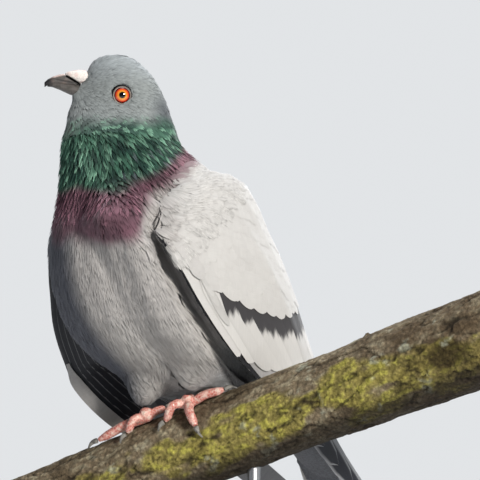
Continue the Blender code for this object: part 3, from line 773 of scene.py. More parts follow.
class Look:
    """A material with a Principled shader, whose fixed values are given by socket name."""

    def __init__(self, name, **finish):
        self.material = bpy.data.materials.new(name)
        self.material.use_nodes = True
        self.tree = self.material.node_tree
        self.shader = self.tree.nodes["Principled BSDF"]
        for key, value in finish.items():
            self.shader.inputs[key.replace("_", " ")].default_value = value

    def drive(self, key, output):
        """Feeds a node's output to one of the shader's sockets."""
        self.tree.links.new(output, self.shader.inputs[key])

    def tint(self):
        return node(self.tree, "ShaderNodeAttribute", attribute_name="Tint").outputs["Color"]

    def place(self):
        return node(self.tree, "ShaderNodeTexCoord").outputs["Object"]

    def uv(self, name):
        return node(self.tree, "ShaderNodeUVMap", uv_map=name).outputs["UV"]

    def noise(self, source, scale, detail=3.0, roughness=0.55, stretch=(1, 1, 1)):
        mapped = node(self.tree, "ShaderNodeMapping", {"Vector": source, "Scale": stretch})
        return node(self.tree, "ShaderNodeTexNoise", {
            "Vector": mapped.outputs["Vector"], "Scale": scale, "Detail": detail, "Roughness": roughness,
        }).outputs["Fac"]

    def spread(self, value, new_low, new_high, low=0.3, high=0.7):
        """Maps the range from low to high, which holds most of a noise, to a new one."""
        return node(self.tree, "ShaderNodeMapRange", {
            "Value": value, "From Min": low, "From Max": high, "To Min": new_low, "To Max": new_high,
        }).outputs["Result"]

    def shaded(self, colour, value):
        """A colour times a number."""
        return node(self.tree, "ShaderNodeVectorMath", {0: colour, 1: value},
                    operation="MULTIPLY").outputs[0]

    def maths(self, operation, a, b):
        return node(self.tree, "ShaderNodeMath", {0: a, 1: b}, operation=operation).outputs[0]

    def ramp(self, value, *stops):
        """A colour from (position, code) stops."""
        made = node(self.tree, "ShaderNodeValToRGB", {"Fac": value})
        bands = made.color_ramp.elements
        while len(bands) < len(stops):
            bands.new(0.5)
        for band, (position, code) in zip(bands, stops):
            band.position = position
            band.color = (*paint(code), 1.0)
        return made.outputs["Color"]

    def bump(self, value, strength, distance):
        made = node(self.tree, "ShaderNodeBump",
                    {"Height": value, "Strength": strength, "Distance": distance * MM})
        self.drive("Normal", made.outputs["Normal"])


def feather_look(name, roughness, contrast, relief, sheen=0.2, metallic=0.0, fineness=2.2):
    """Barbs: fine lines whose colour and height change quickly across them and slowly along them."""
    look = Look(name, Roughness=roughness, Metallic=metallic, Sheen_Weight=sheen, Sheen_Roughness=0.5,
                Specular_IOR_Level=0.3)
    barbs = look.uv("Vane")
    fine = look.noise(barbs, fineness, stretch=(1, 0.14, 1))
    broad = look.noise(barbs, 0.5, stretch=(1, 0.4, 1))
    tone = look.spread(fine, 1 - contrast, 1 + contrast)
    wide = look.spread(broad, 1 - contrast * 0.5, 1 + contrast * 0.5)
    look.drive("Base Color", look.shaded(look.shaded(look.tint(), tone), wide))
    look.bump(fine, relief, 0.25)
    return look.material


def grained_look(name, scale, low, high, strength, distance, detail=3.0, **finish):
    """The tint with a fine grain, from low to high times as bright, that also shows as relief."""
    look = Look(name, **finish)
    grain = look.noise(look.place(), scale, detail=detail)
    look.drive("Base Color", look.shaded(look.tint(), look.spread(grain, low, high)))
    look.bump(grain, strength, distance)
    return look.material


def horn_look(name, roughness, scale, strength):
    """Horn, chalky skin and scales, which differ in gloss and in the size of their grain."""
    return grained_look(name, scale, 0.8, 1.15, strength, 0.15, detail=4.0, Roughness=roughness,
                        Specular_IOR_Level=0.4, Coat_Weight=0.1)


# ---------------------------------------------------------------- the lie of the coat and its markings

def ankle(side):
    """The top of a foot's shank, to which the thigh's feathers point."""
    points, _ = node_arrays(f"foot_{side}")
    return points[points[:, 2] > points[:, 2].max() - 2.0].mean(0)


ANKLES = np.array([ankle(side) for side in HAND])
BILL_TREE = BVHTree.FromPolygons(*joined([node_arrays(name) for name in BILL_NODES]))


def lie(points, normals):
    """The way feathers point: away from the bill on the head, along the body's line elsewhere."""
    x, back, up = columns(points)
    line = np.array([(0.0, -f, v) for f, v in BODY_LINE])
    steps = unit(line[1:] - line[:-1])
    middles = (line[1:] + line[:-1]) / 2
    away = np.linalg.norm((points[:, None, :] - middles[None]) * (0.3, 1, 1), axis=2)
    share = np.exp(-(away / 16) ** 2) + 1e-9
    along = (share[..., None] * steps[None]).sum(1) / share.sum(1)[:, None]
    along = unit(along + np.array((0.0, 0.16, 0.0)))
    from_bill = unit(points - head_place(*BILL_MIDDLE))
    way = blend(along, from_bill, ease(126, 140, up))
    to_ankle = unit(ANKLES[np.where(x > ANKLES.mean(0)[0], 0, 1)] - 5 * UP - points)
    way = unit(blend(way, to_ankle, ease(34, 22, up) * ease(30, 14, back) * ease(42, 30, np.abs(x))))
    on_tail = ease(20, 4, (points - TAIL_START) @ TAIL_DOWN * -1) * ease(60, 90, back)
    return square_to(blend(way, TAIL_DOWN, on_tail), normals)


def plumage(points):
    """The markings of head, neck and body, for the skin and the feathers alike, with painted shade on the
    right flank, low on the belly and under each folded wing's lower edge.
    """
    x, back, up = columns(points)
    g, h, _ = head_coordinates(points)
    wobble = ripple(points, 23.0)
    green_edge, wine_edge = neck_edges(points)
    wines = blend(NECK_WINE, NECK_WINE_DARK, 0.35 + 0.35 * wobble)
    greens = blend(NECK_GREEN, NECK_DARK, 0.3 + 0.45 * ripple(points, 15.0, 2.0))
    slate = blend(HEAD_SLATE, CROWN_SLATE, ease(2, 14, h))
    slate = blend(slate, NAPE_INK, 0.75 * ease(-10, -20, g) * ease(6, -8, h))
    return layered(
        # darker towards the bottom: painted shade low on the belly and between the legs
        blend(BREAST, BELLY, ease(60, 20, up)) * (1 - 0.36 * ease(34, 8, up))[..., None],
        # painted shade: the bird's right flank darkened to slate
        (SHADED_RIGHT_FLANK, 0.9 * ease(-5, 12, -x) * ease(120, 98, up) * ease(34, 6, back)),
        (BACK_GREY, ease(10, 30, back - 0.25 * (up - 60))),
        (RUMP_WHITE, ease(66, 76, back) * ease(50, 40, up) * ease(2, 10, up)),
        (TAIL_GREY, ease(14, 4, up) * ease(84, 92, back)),
        (wines, ease(-5, 5, up - wine_edge + 2.0 * wobble)),
        (greens, ease(-2, 3, up - green_edge + 1.5 * wobble)),
        (slate, ease(132, 140, up + 1.6 * wobble)),
        # painted shadow under each folded wing's lower edge
        (PAINTED_EDGE_SHADOW, 0.92 * painted_edge_shadow(points)))


def body_colour(points, t, rng):
    """The plain coat has no more to it than its markings and the shade painted with them."""
    return plumage(points)


def neck_colour(points, t, rng):
    """Green and wine barbs, some of them dark, some bright and some greyish."""
    x, back, up = columns(points)
    on_neck = ease(78, 100, up) * ease(141, 133, up)
    draw = rng.random(points.shape[:1] + (1,))
    green_edge, wine_edge = neck_edges(points)
    green = ease(-2, 3, up - green_edge)
    wined = ease(-5, 5, up - wine_edge)
    greyish = green * on_neck * ease(-12, 14, x + 0.5 * back) * ease(20, 6, up - 110)
    return layered(
        plumage(points),
        (blend(NECK_WINE_DARK, NECK_DARK, green), 0.75 * wined * on_neck * (draw < 0.3) * (1 - 0.4 * t)),
        (blend(NECK_WINE * 1.3, NECK_BRIGHT, green),
         0.8 * wined * on_neck * (draw > 0.76) * ease(0.3, 0.9, t)),
        (NECK_GREY, 0.6 * greyish * ((draw > 0.3) & (draw < 0.48))))


def around_map(points, low, high):
    """Where roots lie on an unwrap: the turn round the body's line, and the height."""
    turn = np.arctan2(points[:, 0], points[:, 1] + 14 - 0.1 * points[:, 2]) / (2 * math.pi) + 0.5
    return np.stack([0.02 + 0.96 * turn, 0.02 + 0.96 * (points[:, 2] - low) / (high - low)], 1)


# ---------------------------------------------------------------- the coat

def off_the_bill(points):
    """False where bill, cere and eyes are."""
    clear = eye_distance(points) > 4.9
    for i in np.flatnonzero(head_coordinates(points)[0] > 8):
        spot, normal, _, away = BILL_TREE.find_nearest(Vector(points[i]))
        clear[i] &= away > 0.45 and normal.dot(Vector(points[i]) - spot) > 0
    return clear


def head_spacing(points):
    """Feathers are smallest round the eyes and the bill."""
    g, h, _ = head_coordinates(points)
    near = np.minimum(eye_distance(points) - 4, np.hypot(g - BILL_ROOT[0], h - BILL_ROOT[1]) - 2)
    return 1.0 + 0.65 * ease(0, 14, near)


def make_coat(body, wings):
    """The small feathers of head, neck and body."""
    covers = [wing.tree for wing in wings.values()]

    def bare(points, normals):
        """False where a folded wing lies over the body."""
        free = np.ones(len(points), bool)
        for i, (point, normal) in enumerate(zip(points.tolist(), normals)):
            start = Vector(point) + Vector(normal) * 0.2
            free[i] = not any(tree.ray_cast(start, Vector(normal), 9.0)[0] for tree in covers)
        return free

    def coat(name, slot, look, colour, heights, keep, spacing, tries, seed, length, width, **form):
        """Feathers whose roots lie between two heights. Their length and width are in spacings."""
        low, high = heights

        def kept(points, normals):
            inside = (points[:, 2] > low) & (points[:, 2] <= high) & keep(points)
            inside[inside] &= bare(points[inside], normals[inside])
            return inside

        roots, normals = scatter(body, spacing, kept, tries, seed)
        sizes = spacing(roots)
        strip_feathers(name, body, roots, lie(roots, normals), sizes * length, sizes * width,
                       around_map(roots, low - 12, high + 12), colour, look, slot, seed + 1, **form)

    fine = feather_look("head_feathers", 0.75, 0.10, 0.35)
    glossy = feather_look("neck_feathers", 0.48, 0.18, 0.4, sheen=0.1, metallic=0.2)
    soft = feather_look("body_feathers", 0.8, 0.06, 0.25)
    downy = {"length": 4.8, "strips": 7, "depth": 1.5, "arch": 0.07, "crown": 0.12}
    coat("head_feathers", "slate_feathers", fine, neck_colour, (133.0, 175.0), off_the_bill,
         head_spacing, tries=40000, seed=11, length=3.4, width=1.0, strips=3, depth=0.55, lift=0.05,
         arch=0.06, crown=0.1, streak=0.05, vary=0.03)
    coat("neck_feathers", "neck_feathers", glossy, neck_colour, (96.0, 135.5), lambda p: p[:, 1] < 40,
         evenly(1.9), tries=16000, seed=21, length=4.6, width=0.95, strips=5, depth=1.9, lift=0.25,
         arch=0.2, pointed=0.3, envelope=(0.5, 1.0, 0.95, 0.75, 0.5), streak=0.2, vary=0.1)
    coat("breast_feathers", "body_feathers", soft, neck_colour, (52.0, 99.0), lambda p: p[:, 1] < 12,
         evenly(2.3), tries=16000, seed=31, width=1.2, lift=0.1, streak=0.03, vary=0.025, **downy)
    coat("belly_feathers", "body_feathers", soft, body_colour, (-20.0, 53.5), lambda p: p[:, 1] < 52,
         evenly(2.5), tries=18000, seed=41, width=1.15, lift=0.12, streak=0.04, vary=0.03, **downy)
    coat("back_feathers", "body_feathers", soft, body_colour, (4.0, 124.0),
         lambda p: (p[:, 1] > 8) & (p[:, 1] < 106), evenly(3.4), tries=14000, seed=51, length=4.6,
         width=1.1, strips=7, depth=2.0, lift=0.2)


def wing_stations():
    """Places on the front of the folded wings: a search tree, and each one's place, side, p and a."""
    found = []
    turns = np.linspace(0, 1, 13)
    for side in HAND:
        for p in np.linspace(0, 2.5, 26):
            places = wing_place(side, np.full(len(turns), p), turns)
            found += [(place, side, p, a) for place, a in zip(places, turns)]
    return search_tree([place for place, _, _, _ in found]), found


def off_wings(points, wings):
    """1 for points away from the folded wings, 0 for points on them."""
    return np.prod([wing.clear_of(points, WING_REACH) for wing in wings.values()], axis=0)


def shoulder_colour(points, t, rng):
    """The breast's and neck's colours, and the wing's behind an edge."""
    x, back, up = columns(points[:, :1])
    edge = from_table(SHOULDER_EDGE, up)
    pale = ease(-3.5, 3.5, np.abs(x) + back - edge + 0.5 * ripple(points[:, :1], 7.0))
    return blend(neck_colour(points, t, rng), SHIELD, pale)


def make_shoulders(wings):
    """Soft feathers that carry the breast's coat over the front of each folded wing."""
    mantle = Surface(("neck", "trunk", "wing_left", "wing_right"), 1.3, 14)
    mantle.puff_sides(off_wings(mantle.points, wings))
    mantle.points = low_pass(mantle.points, mantle.quads, 20)
    mantle.melt(by_wrists(mantle.points), 70)
    tree, found = wing_stations()

    def near_wrist(points, normals):
        keep = np.zeros(len(points), bool)
        for i, point in enumerate(points.tolist()):
            if point[2] > 60:
                _, index, away = tree.find(point)
                _, side, p, _ = found[index]
                keep[i] = away < 6 and p < 1.55 and normals[i][0] * HAND[side] > -0.4
        return keep

    roots, normals = scatter(mantle, evenly(2.1), near_wrist, 20000, 61)
    nearest = [found[tree.find(root)[1]] for root in roots.tolist()]
    station = np.array([p for _, _, p, _ in nearest])
    onwards = np.array([wing_place(side, p + 0.4, a) - wing_place(side, p, a)
                        for _, side, p, a in nearest])
    ways = square_to(blend(lie(roots, normals), unit(onwards), ease(0.15, 0.7, station)), normals)
    soft = feather_look("shoulder_feathers", 0.7, 0.07, 0.35)
    strip_feathers("shoulder_feathers", mantle, roots, ways, np.full(len(roots), 9.5),
                   np.full(len(roots), 2.2), around_map(roots, 50, 130), shoulder_colour, soft,
                   "wing_coverts", 62, strips=6, stray=0.13, depth=0.4, lift=0.8, arch=0.07, crown=0.12,
                   fray=0.05, streak=0.04, vary=0.03)


def make_skin(wings):
    """One skin for head, neck, body, legs' tops and wings, inside them by the depth of the coat."""
    flesh = (*BODY_NODES, "wing_left", "wing_right")
    surface = Surface(flesh, 1.25, 14, tail_core(), chin())
    surface.melt(by_thighs(surface.points), 62)
    surface.puff_sides(off_wings(surface.points, wings))
    fold = by_wrists(surface.points)
    surface.melt(fold, 70)
    points = surface.points
    to_eye = eye_distance(points)
    depth = HEAD_COAT + MORE_COAT * ease(136, 118, points[:, 2])
    depth = np.where(to_eye < 6, LID_COAT + 0.7 * ease(5.4, 4.6, to_eye), depth)
    sunk = points - surface.normals * depth[:, None]
    colours = plumage(points) * 0.8
    for side, wing in wings.items():
        over = np.zeros(len(points), bool)
        for i, point in enumerate(points.tolist()):
            spot, normal, _, away = wing.tree.find_nearest(point, WING_REACH)
            if spot is not None:
                over[i] = away <= 1.2
                share = ease(WING_REACH, 1.0, away) * (1 - fold[i])
                sunk[i] = sunk[i] * (1 - share) + (np.array(spot) - np.array(normal) * WING_COAT) * share
        outward = surface.normals[:, 0] * HAND[side]
        # Painted shade: the wing's side that faces the body is near-black, and the band under its lower
        # edge is painted shadow.
        tone = layered(
            blend(SHADED_UNDER_WING, SHIELD * 0.8, ease(0.0, 0.3, outward)),
            (PAINTED_EDGE_SHADOW, painted_edge_shadow(points)),
            (plumage(points), ease(80, 86, points[:, 2]) * ease(-12, -20, points[:, 1])))
        colours = np.where(over[:, None], tone, colours)
    look = grained_look("skin", 900.0, 0.75, 1.15, 0.6, 0.5, Roughness=0.85, Sheen_Weight=0.2,
                        Specular_IOR_Level=0.2)
    made = new_object("skin", low_pass(sunk, surface.quads, 4), surface.quads, look,
                      colours, SMOOTH)
    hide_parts(*flesh)


# ---------------------------------------------------------------- wings and tail

def shield_colour(p, a, t, leading, rng):
    """Pale grey coverts, a little darker at their bases and along the wing's leading side."""
    tone = varied(0.012, len(p), rng) * (0.93 + 0.07 * ease(0.2, 0.8, t))
    tone = tone * (1 - 0.03 * np.abs(leading) * ease(0.5, 1, t))
    return blend(SHIELD, SHIELD_EDGE, 0.5 * ease(0.16, 0.02, a)) * tone[..., None]


def covert_colour(p, a, t, leading, rng):
    """Greater coverts: a dark band that ends in a slant on each feather, then a pale end."""
    count = len(p)
    end = from_table(BAR_END, a) - 0.14 * leading + 0.05 * rng.standard_normal((count, 1))
    end = end - 0.05 * np.sin(leading * 9 + np.arange(count)[:, None])
    pale = SHIELD * varied(0.03, count, rng)[..., None]
    pale = pale * (1 - 0.07 * ease(0.6, 1.0, np.abs(leading)))[..., None]
    return blend(BAR, pale, ease(-0.05, 0.06, p - end))


def marginal_colour(p, a, t, leading, rng):
    """The small feathers of the wing's rim, a shade darker than the others."""
    tone = (0.9 + 0.1 * ease(0.3, 0.9, t)) * varied(0.03, len(p), rng)
    return SHIELD * (tone * 0.9)[..., None]


def secondary_colour(p, a, t, leading, rng):
    """Grey with a dark second bar near the end."""
    bar = ease(0.66, 0.72, t + 0.04 * leading) * ease(0.93, 0.88, t)
    return blend(blend(SHIELD_EDGE, QUILL, 0.25), BAR, bar) * varied(0.03, len(p), rng)[..., None]


def primary_colour(p, a, t, leading, rng):
    """Dark slate quills with thin pale edges."""
    rim = ease(0.84, 0.97, np.abs(leading)) * ease(0.2, 0.6, t)
    return layered(QUILL, (QUILL_DARK, ease(0.3, 0.75, t)), (QUILL_EDGE, 0.8 * rim))


def shield_tips(side, rng):
    """p, a and size for rows of small coverts, each row set half a feather off the last."""
    tips = []
    rows, first = 20, 1.4
    for row in range(rows):
        q = row / (rows - 1)
        turns = even_turns(side, first + 2.6 * q, 14)
        step = (turns[1:] - turns[:-1]).mean() / 2
        for a in turns + step * (row % 2):
            a = np.clip(a + 0.004 * rng.standard_normal(), 0.045, 1)
            p = first + (from_table(SHIELD_END, a) - first) * q ** 0.93 + 0.025 * rng.standard_normal()
            tips.append((p, a, 0.6 + 0.4 * ease(0.0, 0.6, q) * (0.7 + 0.3 * ease(0.05, 0.3, a))))
    return np.array(tips).T


def edge_blades(side, body, look):
    """Long quills, dark and in painted shade, that fill the room between a folded wing's lower edge and
    the body.

    The outermost is a short pale lobe on the wing's edge.
    """
    count = 12
    stations = np.linspace(1.2, 8.0, 60)
    line = wing_place(side, stations, np.zeros(60))
    across = np.array([body.tree.find_nearest(Vector(place))[0] for place in line]) - line
    for _ in range(30):
        across[1:-1] = (across[:-2] + 2 * across[1:-1] + across[2:]) / 4
    order = np.arange(count)[:, None]
    outer = order == 0
    rows = np.linspace(0, 1, 24)
    t, edge = vane_grid(rows)
    start = np.where(outer, 5.2, 1.4 + 0.12 * order)
    end = np.where(outer, 7.35, 8.1 - 0.1 * order)
    p = start + (end - start) * t
    ahead = unit(wing_place(side, p + 0.05, 0 * p) - wing_place(side, p - 0.05, 0 * p))
    over = np.stack([np.interp(p, stations, across[:, k]) for k in range(3)], -1)
    over = square_to(over, ahead)
    facing = np.cross(ahead, over) * HAND[side]
    facing = facing * np.sign(-facing[..., 1:2])
    shape = (0.4 + 0.6 * ease(0, 0.3, t)) * np.maximum(round_tip(t, np.where(outer, 0.75, 0.86)), 0.05)
    lateral = edge * shape * np.where(outer, 3.3, 2.2)
    inside = np.where(outer, 1.2 - 1.0 * t, 1.7 * order - 1.0)
    height = np.where(outer, 1.7, 1.2 - 0.1 * order) + 0.2 * edge - 0.3 * edge ** 2
    points = wing_place(side, p, 0 * p) + over * (inside + lateral)[..., None]
    points = points + facing * height[..., None]
    rim = ease(0.8, 0.95, edge) * ease(0.15, 0.5, t) * (order % 2)
    # Painted shade: near-black quills with edges at 0.6 of their pale, and the outer lobe at 0.8 of the
    # wing's edge colour.
    tint = blend(SHADED_UNDER_WING, QUILL_EDGE * 0.6, 0.7 * rim)
    tint = np.where(outer[..., None], SHIELD_EDGE * 0.8, tint)
    unwrap = np.stack([0.02 + 0.008 * order[:, 0], np.full(count, 0.3)], 1)
    finish_feathers(f"edge_quills_{side}", points, vane_faces(len(rows)), tint, (t * 90.0, lateral),
                    (edge, t), unwrap, look)


def make_wing(side, surface, body):
    """The rows of a folded wing's feathers, from the lowest to the topmost."""
    rng = np.random.default_rng(WING_SEED[side])
    firm = feather_look(f"wing_feathers_{side}", 0.62, 0.035, 0.16, sheen=0.15, fineness=1.6)
    quill = feather_look(f"quill_feathers_{side}", 0.5, 0.07, 0.25, sheen=0.05, fineness=1.6)

    def row(name, p, a, length, width, height, colour, **form):
        slot, look = ("flight_feathers", quill) if name in QUILL_ROWS else ("wing_coverts", firm)
        return wing_feathers(f"{name}_{side}", side, surface, p, a, length, width, height, colour, look,
                             slot, **form)

    primaries = row("primaries", p=np.linspace(9.9, 7.6, 6), a=np.linspace(0.35, 0.2, 6),
                    length=np.linspace(112, 86, 6), width=6.6, height=np.linspace(-1.6, -0.7, 6),
                    colour=primary_colour, seed=1, lean=0.05, tip_start=0.8, roll=0.12, rise=0.6,
                    crown=0.25)
    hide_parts(f"wing_tip_{side}")

    a = even_turns(side, 6.0, 13)
    row("secondaries", from_table(SECONDARY_END, a), a, length=62.0, width=6.6,
        height=np.linspace(-0.75, -0.35, len(a)), colour=secondary_colour, seed=2, tip_start=0.78,
        roll=0.2, rise=0.3, crown=0.2)

    a = even_turns(side, 5.0, 14)
    row("greater_coverts", from_table(COVERT_END, a) + 0.03 * rng.standard_normal(len(a)), a,
        length=np.linspace(62, 44, len(a)), width=5.6, height=0.05, colour=covert_colour, seed=3,
        tip_start=0.8, roll=0.22, rise=0.35, crown=0.2, fray=0.03, squareness=2.2, rows=48)

    row("marginal_coverts", p=np.linspace(1.7, 4.1, 9), a=np.linspace(0.085, 0.06, 9),
        length=np.linspace(14, 25, 9), width=np.linspace(2.3, 2.6, 9), height=0.42,
        colour=marginal_colour, seed=4, lean=-0.01, tip_start=0.45, roll=0.12, rise=0.4, crown=0.2,
        first=1.0)

    p, a, sizes = shield_tips(side, rng)
    row("lesser_coverts", p, a, length=19.0 * sizes, width=6.6 * sizes, height=0.5,
        colour=shield_colour, seed=5, tip_start=0.3, rise=0.45, crown=0.1, roll=0.03, first=1.15)

    if side == "right":
        edge_blades(side, body, quill)


def make_tail():
    """Twelve tail feathers in a shut fan, the middle pair on top."""
    look = feather_look("tail_feathers", 0.55, 0.06, 0.25, sheen=0.05, fineness=1.6)
    order = (np.arange(RECTRICES) - (RECTRICES - 1) / 2)[:, None]
    rows = np.linspace(0, 1, 16) ** 0.85
    t, edge = vane_grid(rows)
    shape = (0.3 + 0.7 * ease(0, 0.6, t)) * np.maximum(round_tip(t, 0.93, 2.5), 0.1)
    lateral = order * (0.5 + 2.25 * t) + edge * shape * 9.0
    below = 0.9 + np.abs(order) * 0.42 * (1 - 0.35 * t) + 2.2 * (1 - t) + 0.25 * edge ** 2
    below = below + 0.12 * edge * np.sign(order)
    run = t * (TAIL_LENGTH - 0.12 * order ** 2)
    points = (TAIL_START + TAIL_DOWN * run[..., None] - TAIL_UPPER * below[..., None]
              + np.array((1.0, 0, 0)) * lateral[..., None])
    outer = ease(4.9, 5.4, np.abs(order)) * ease(0.7, 0.9, edge * np.sign(order))
    colour = layered(TAIL_GREY, (TAIL_BAND, ease(0.74, 0.79, t) * ease(0.985, 0.965, t)),
                     (RUMP_WHITE, outer * ease(0.95, 0.8, t)))
    colour = colour * varied(0.04, RECTRICES, np.random.default_rng(5))[..., None]
    unwrap = np.stack([0.5 + order[:, 0] * 0.07, np.full(RECTRICES, 0.5)], 1)
    made = finish_feathers("tail_quills", points, vane_faces(len(rows)), colour,
                           (run - np.abs(edge * shape) * 9.9, lateral), (edge, t), unwrap, look)
    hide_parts("tail")


# ---------------------------------------------------------------- eyes, bill, feet

def eye_look():
    """Black pupil, yellow then red iris and a dark rim, under a wet cornea."""
    look = Look("eye", Roughness=0.04, Coat_Weight=1.0, Coat_Roughness=0.02, Specular_IOR_Level=0.5)
    place = look.uv("Iris")
    outwards = node(look.tree, "ShaderNodeSeparateXYZ", {0: place}).outputs["X"]
    fibres = look.noise(place, 1.0, stretch=(2.5, 60, 1))
    radius = look.maths("MULTIPLY", outwards, look.spread(fibres, 0.96, 1.04))
    look.drive("Base Color", look.ramp(
        radius, (0.0, "#050404"), (0.40, "#060404"), (0.45, "#c98a2c"), (0.56, "#f09a34"),
        (0.68, "#ee7424"), (0.82, "#d9431d"), (0.93, "#8f1f12"), (1.0, "#140706")))
    return look.material


def make_eyes():
    """A round eye with its iris on a map, and a bare lid round it, on each side."""
    glassy = eye_look()
    lid = grained_look("eyelid", 2200.0, 0.75, 1.2, 0.5, 0.12, Roughness=0.5, Specular_IOR_Level=0.4)
    count = 48
    globe = [(EYE_RADIUS * math.sin(t), EYE_RADIUS * math.cos(t)) for t in np.linspace(0.02, 1.75, 26)]
    radii = np.repeat([radius / IRIS_RADIUS for radius, _ in globe], count)
    turns = np.tile(np.arange(count) / count, len(globe))
    lid_rise = math.sqrt(EYE_RADIUS ** 2 - 16.2) + 0.1  # just off the globe at the lid's own radius
    ring = [(LID_RADIUS + LID_HALF_WIDTH * math.cos(t), lid_rise - LID_HALF_HEIGHT * math.sin(t))
            for t in (2 * math.pi * i / 12 for i in range(12))]
    for side, hand in HAND.items():
        axis = HEAD_ACROSS * hand
        middle = head_place(EYE_FORWARD, EYE_RISE, EYE_SIDE * hand)
        points, faces = turned(middle, axis, globe, count, capped=True)
        made = new_object(f"globe_{side}", points, faces, glassy, sharp=SMOOTH)
        set_map(made, "Iris", np.stack([radii, turns], 1))
        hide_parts(f"eye_{side}")
        points, faces = turned(middle, axis, ring + ring[:1], 60)
        points = points + 0.07 * ripple(points, 1.3)[:, None] * axis
        away = np.linalg.norm(np.cross(points - middle, axis), axis=1)
        # Painted shade: a dark band on the lid's outer edge, in the crease where it meets the feathers.
        colour = layered("#9d8c80", ("#3c3b3c", ease(3.85, 4.2, away)))
        new_object(f"eyelid_{side}", points, [face[::-1] for face in faces], lid, colour,
                   SMOOTH)


def make_bill():
    """Both halves of the bill and the cere, with the slit of the nostril along the cere's lower edge."""
    horn = horn_look("horn", 0.42, 900.0, 0.35)
    chalk = horn_look("chalky_skin", 0.6, 1500.0, 0.3)
    for name in BILL_NODES:
        surface = Surface([name], 0.28, 8)
        g, h, s = head_coordinates(surface.points)
        groove = ease(0.8, 0.15, segment_distance(g, h, *NOSTRIL)) * (np.abs(s) > 1.0)
        from_gape = np.abs(h - 5.6 - 0.16 * (g - 22))
        crease = 0.25 * ease(0.5, 0.0, from_gape) * ease(19, 22, g) * ease(33, 30, g)
        outwards = HEAD_ACROSS * np.sign(s)[:, None]
        points = surface.points - outwards * (0.75 * groove + crease)[:, None]
        shut = {"bill_lower": 0.9, "bill_upper": -0.5, "cere": 0.0}[name]
        points = points + shut * ease(0.35, 0.8, surface.normals[:, 2] * np.sign(shut))[:, None] * UP
        if name == "cere":
            rosy = 0.35 * ease(0.1, 0.7, ripple(points, 5.0, 1.0)) + 0.7 * ease(10.6, 11.8, h)
            colour = layered("#efe6df", ("#e0b3ab", rosy))
        elif name == "bill_upper":
            ridge = h - 9.6 + 0.24 * np.clip(g - 26, 0, 9)
            colour = layered("#5a5552", ("#d9bdb3", ease(-0.9, 0.1, ridge)),
                             ("#8d7a72", 0.4 * ease(0.2, 0.8, ripple(points, 4.0, 2.0))))
        else:
            colour = layered("#5a5552", ("#4b4844", ease(0.0, 0.5, ripple(points, 3.0, 6.0))))
        if name != "cere":
            colour = layered(colour, ("#262527", ease(30.5, 34.0, g + 0.4 * ripple(points, 3.0))),
                             ("#3a3736", 4 * crease))
        # Painted shade: the nostril's slit is near-black inside.
        colour = layered(colour, ("#0d0b0b", ease(0.15, 0.6, groove)))
        look, slot = (chalk, "cere") if name == "cere" else (horn, "bill")
        made = new_object(f"{name}_shape", points, surface.quads, look, colour, SMOOTH)
        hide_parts(name)


def plated(surface, spacing, height, seed):
    """Raises a surface into small plates with grooves between, and returns how near each groove is."""
    roots, _ = scatter(surface, lambda p: spacing * (1 + 0.25 * np.sin(p[:, 0] + p[:, 2])),
                       lambda p, n: np.ones(len(p), bool), 6000, seed)
    tree = search_tree(roots)
    reach = [[found[2] for found in tree.find_n(p, 2)] for p in surface.points.tolist()]
    gap = np.array([far - near for near, far in reach])
    plate = ease(0.0, 0.45 * spacing, gap)
    surface.points = surface.points + surface.normals * ((plate - 0.6) * height)[:, None]
    return plate


def make_feet():
    """Pink feet with pale scales, and grey claws."""
    scaly = horn_look("scaly_skin", 0.5, 1500.0, 0.35)
    claw = horn_look("claw_horn", 0.35, 1300.0, 0.3)
    for side in HAND:
        name = f"foot_{side}"
        surface = Surface([name], 0.36, 5)
        plate = plated(surface, 1.05, 0.2, 3)
        points = surface.points
        colour = layered(
            "#c8766a",
            ("#e0a496", ease(-0.1, 0.5, ripple(points, 7.0, 0.5))),
            ("#b5504c", 0.6 * ease(0.2, 0.8, ripple(points, 4.0, 3.0))),
            ("#e6d5c6", 0.65 * ease(0.1, 0.6, ripple(points, 3.2, 5.0))),
            ("#f0dccd", 0.5 * (1 - plate)))
        made = new_object(f"{name}_shape", points, surface.quads, scaly, colour, SMOOTH)
        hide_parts(name)
        for toe in ("inner", "middle", "outer", "hind"):
            name = f"claw_{side}_{toe}"
            surface = Surface([name], 0.17, 6)
            points = surface.points
            colour = layered("#8d8a83", ("#4b4844", ease(-0.3, 0.7, ripple(points, 4.0, 1.0))))
            made = new_object(f"{name}_shape", points, surface.quads, claw, colour, SMOOTH)
            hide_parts(name)


# ---------------------------------------------------------------- perch and stand

def bark_look():
    """The tint with grit and flakes."""
    look = Look("bark", Roughness=0.9, Specular_IOR_Level=0.2)
    place = look.place()
    grit = look.noise(place, 900.0, detail=5.0, roughness=0.7)
    flakes = node(look.tree, "ShaderNodeTexVoronoi", {"Vector": place, "Scale": 420.0},
                  feature="F1").outputs["Distance"]
    tone = look.maths("MULTIPLY", look.spread(grit, 0.55, 1.45), look.spread(flakes, 1.25, 0.7, 0.0, 0.7))
    look.drive("Base Color", look.shaded(look.tint(), tone))
    look.bump(look.maths("SUBTRACT", grit, flakes), 0.9, 0.8)
    return look.material


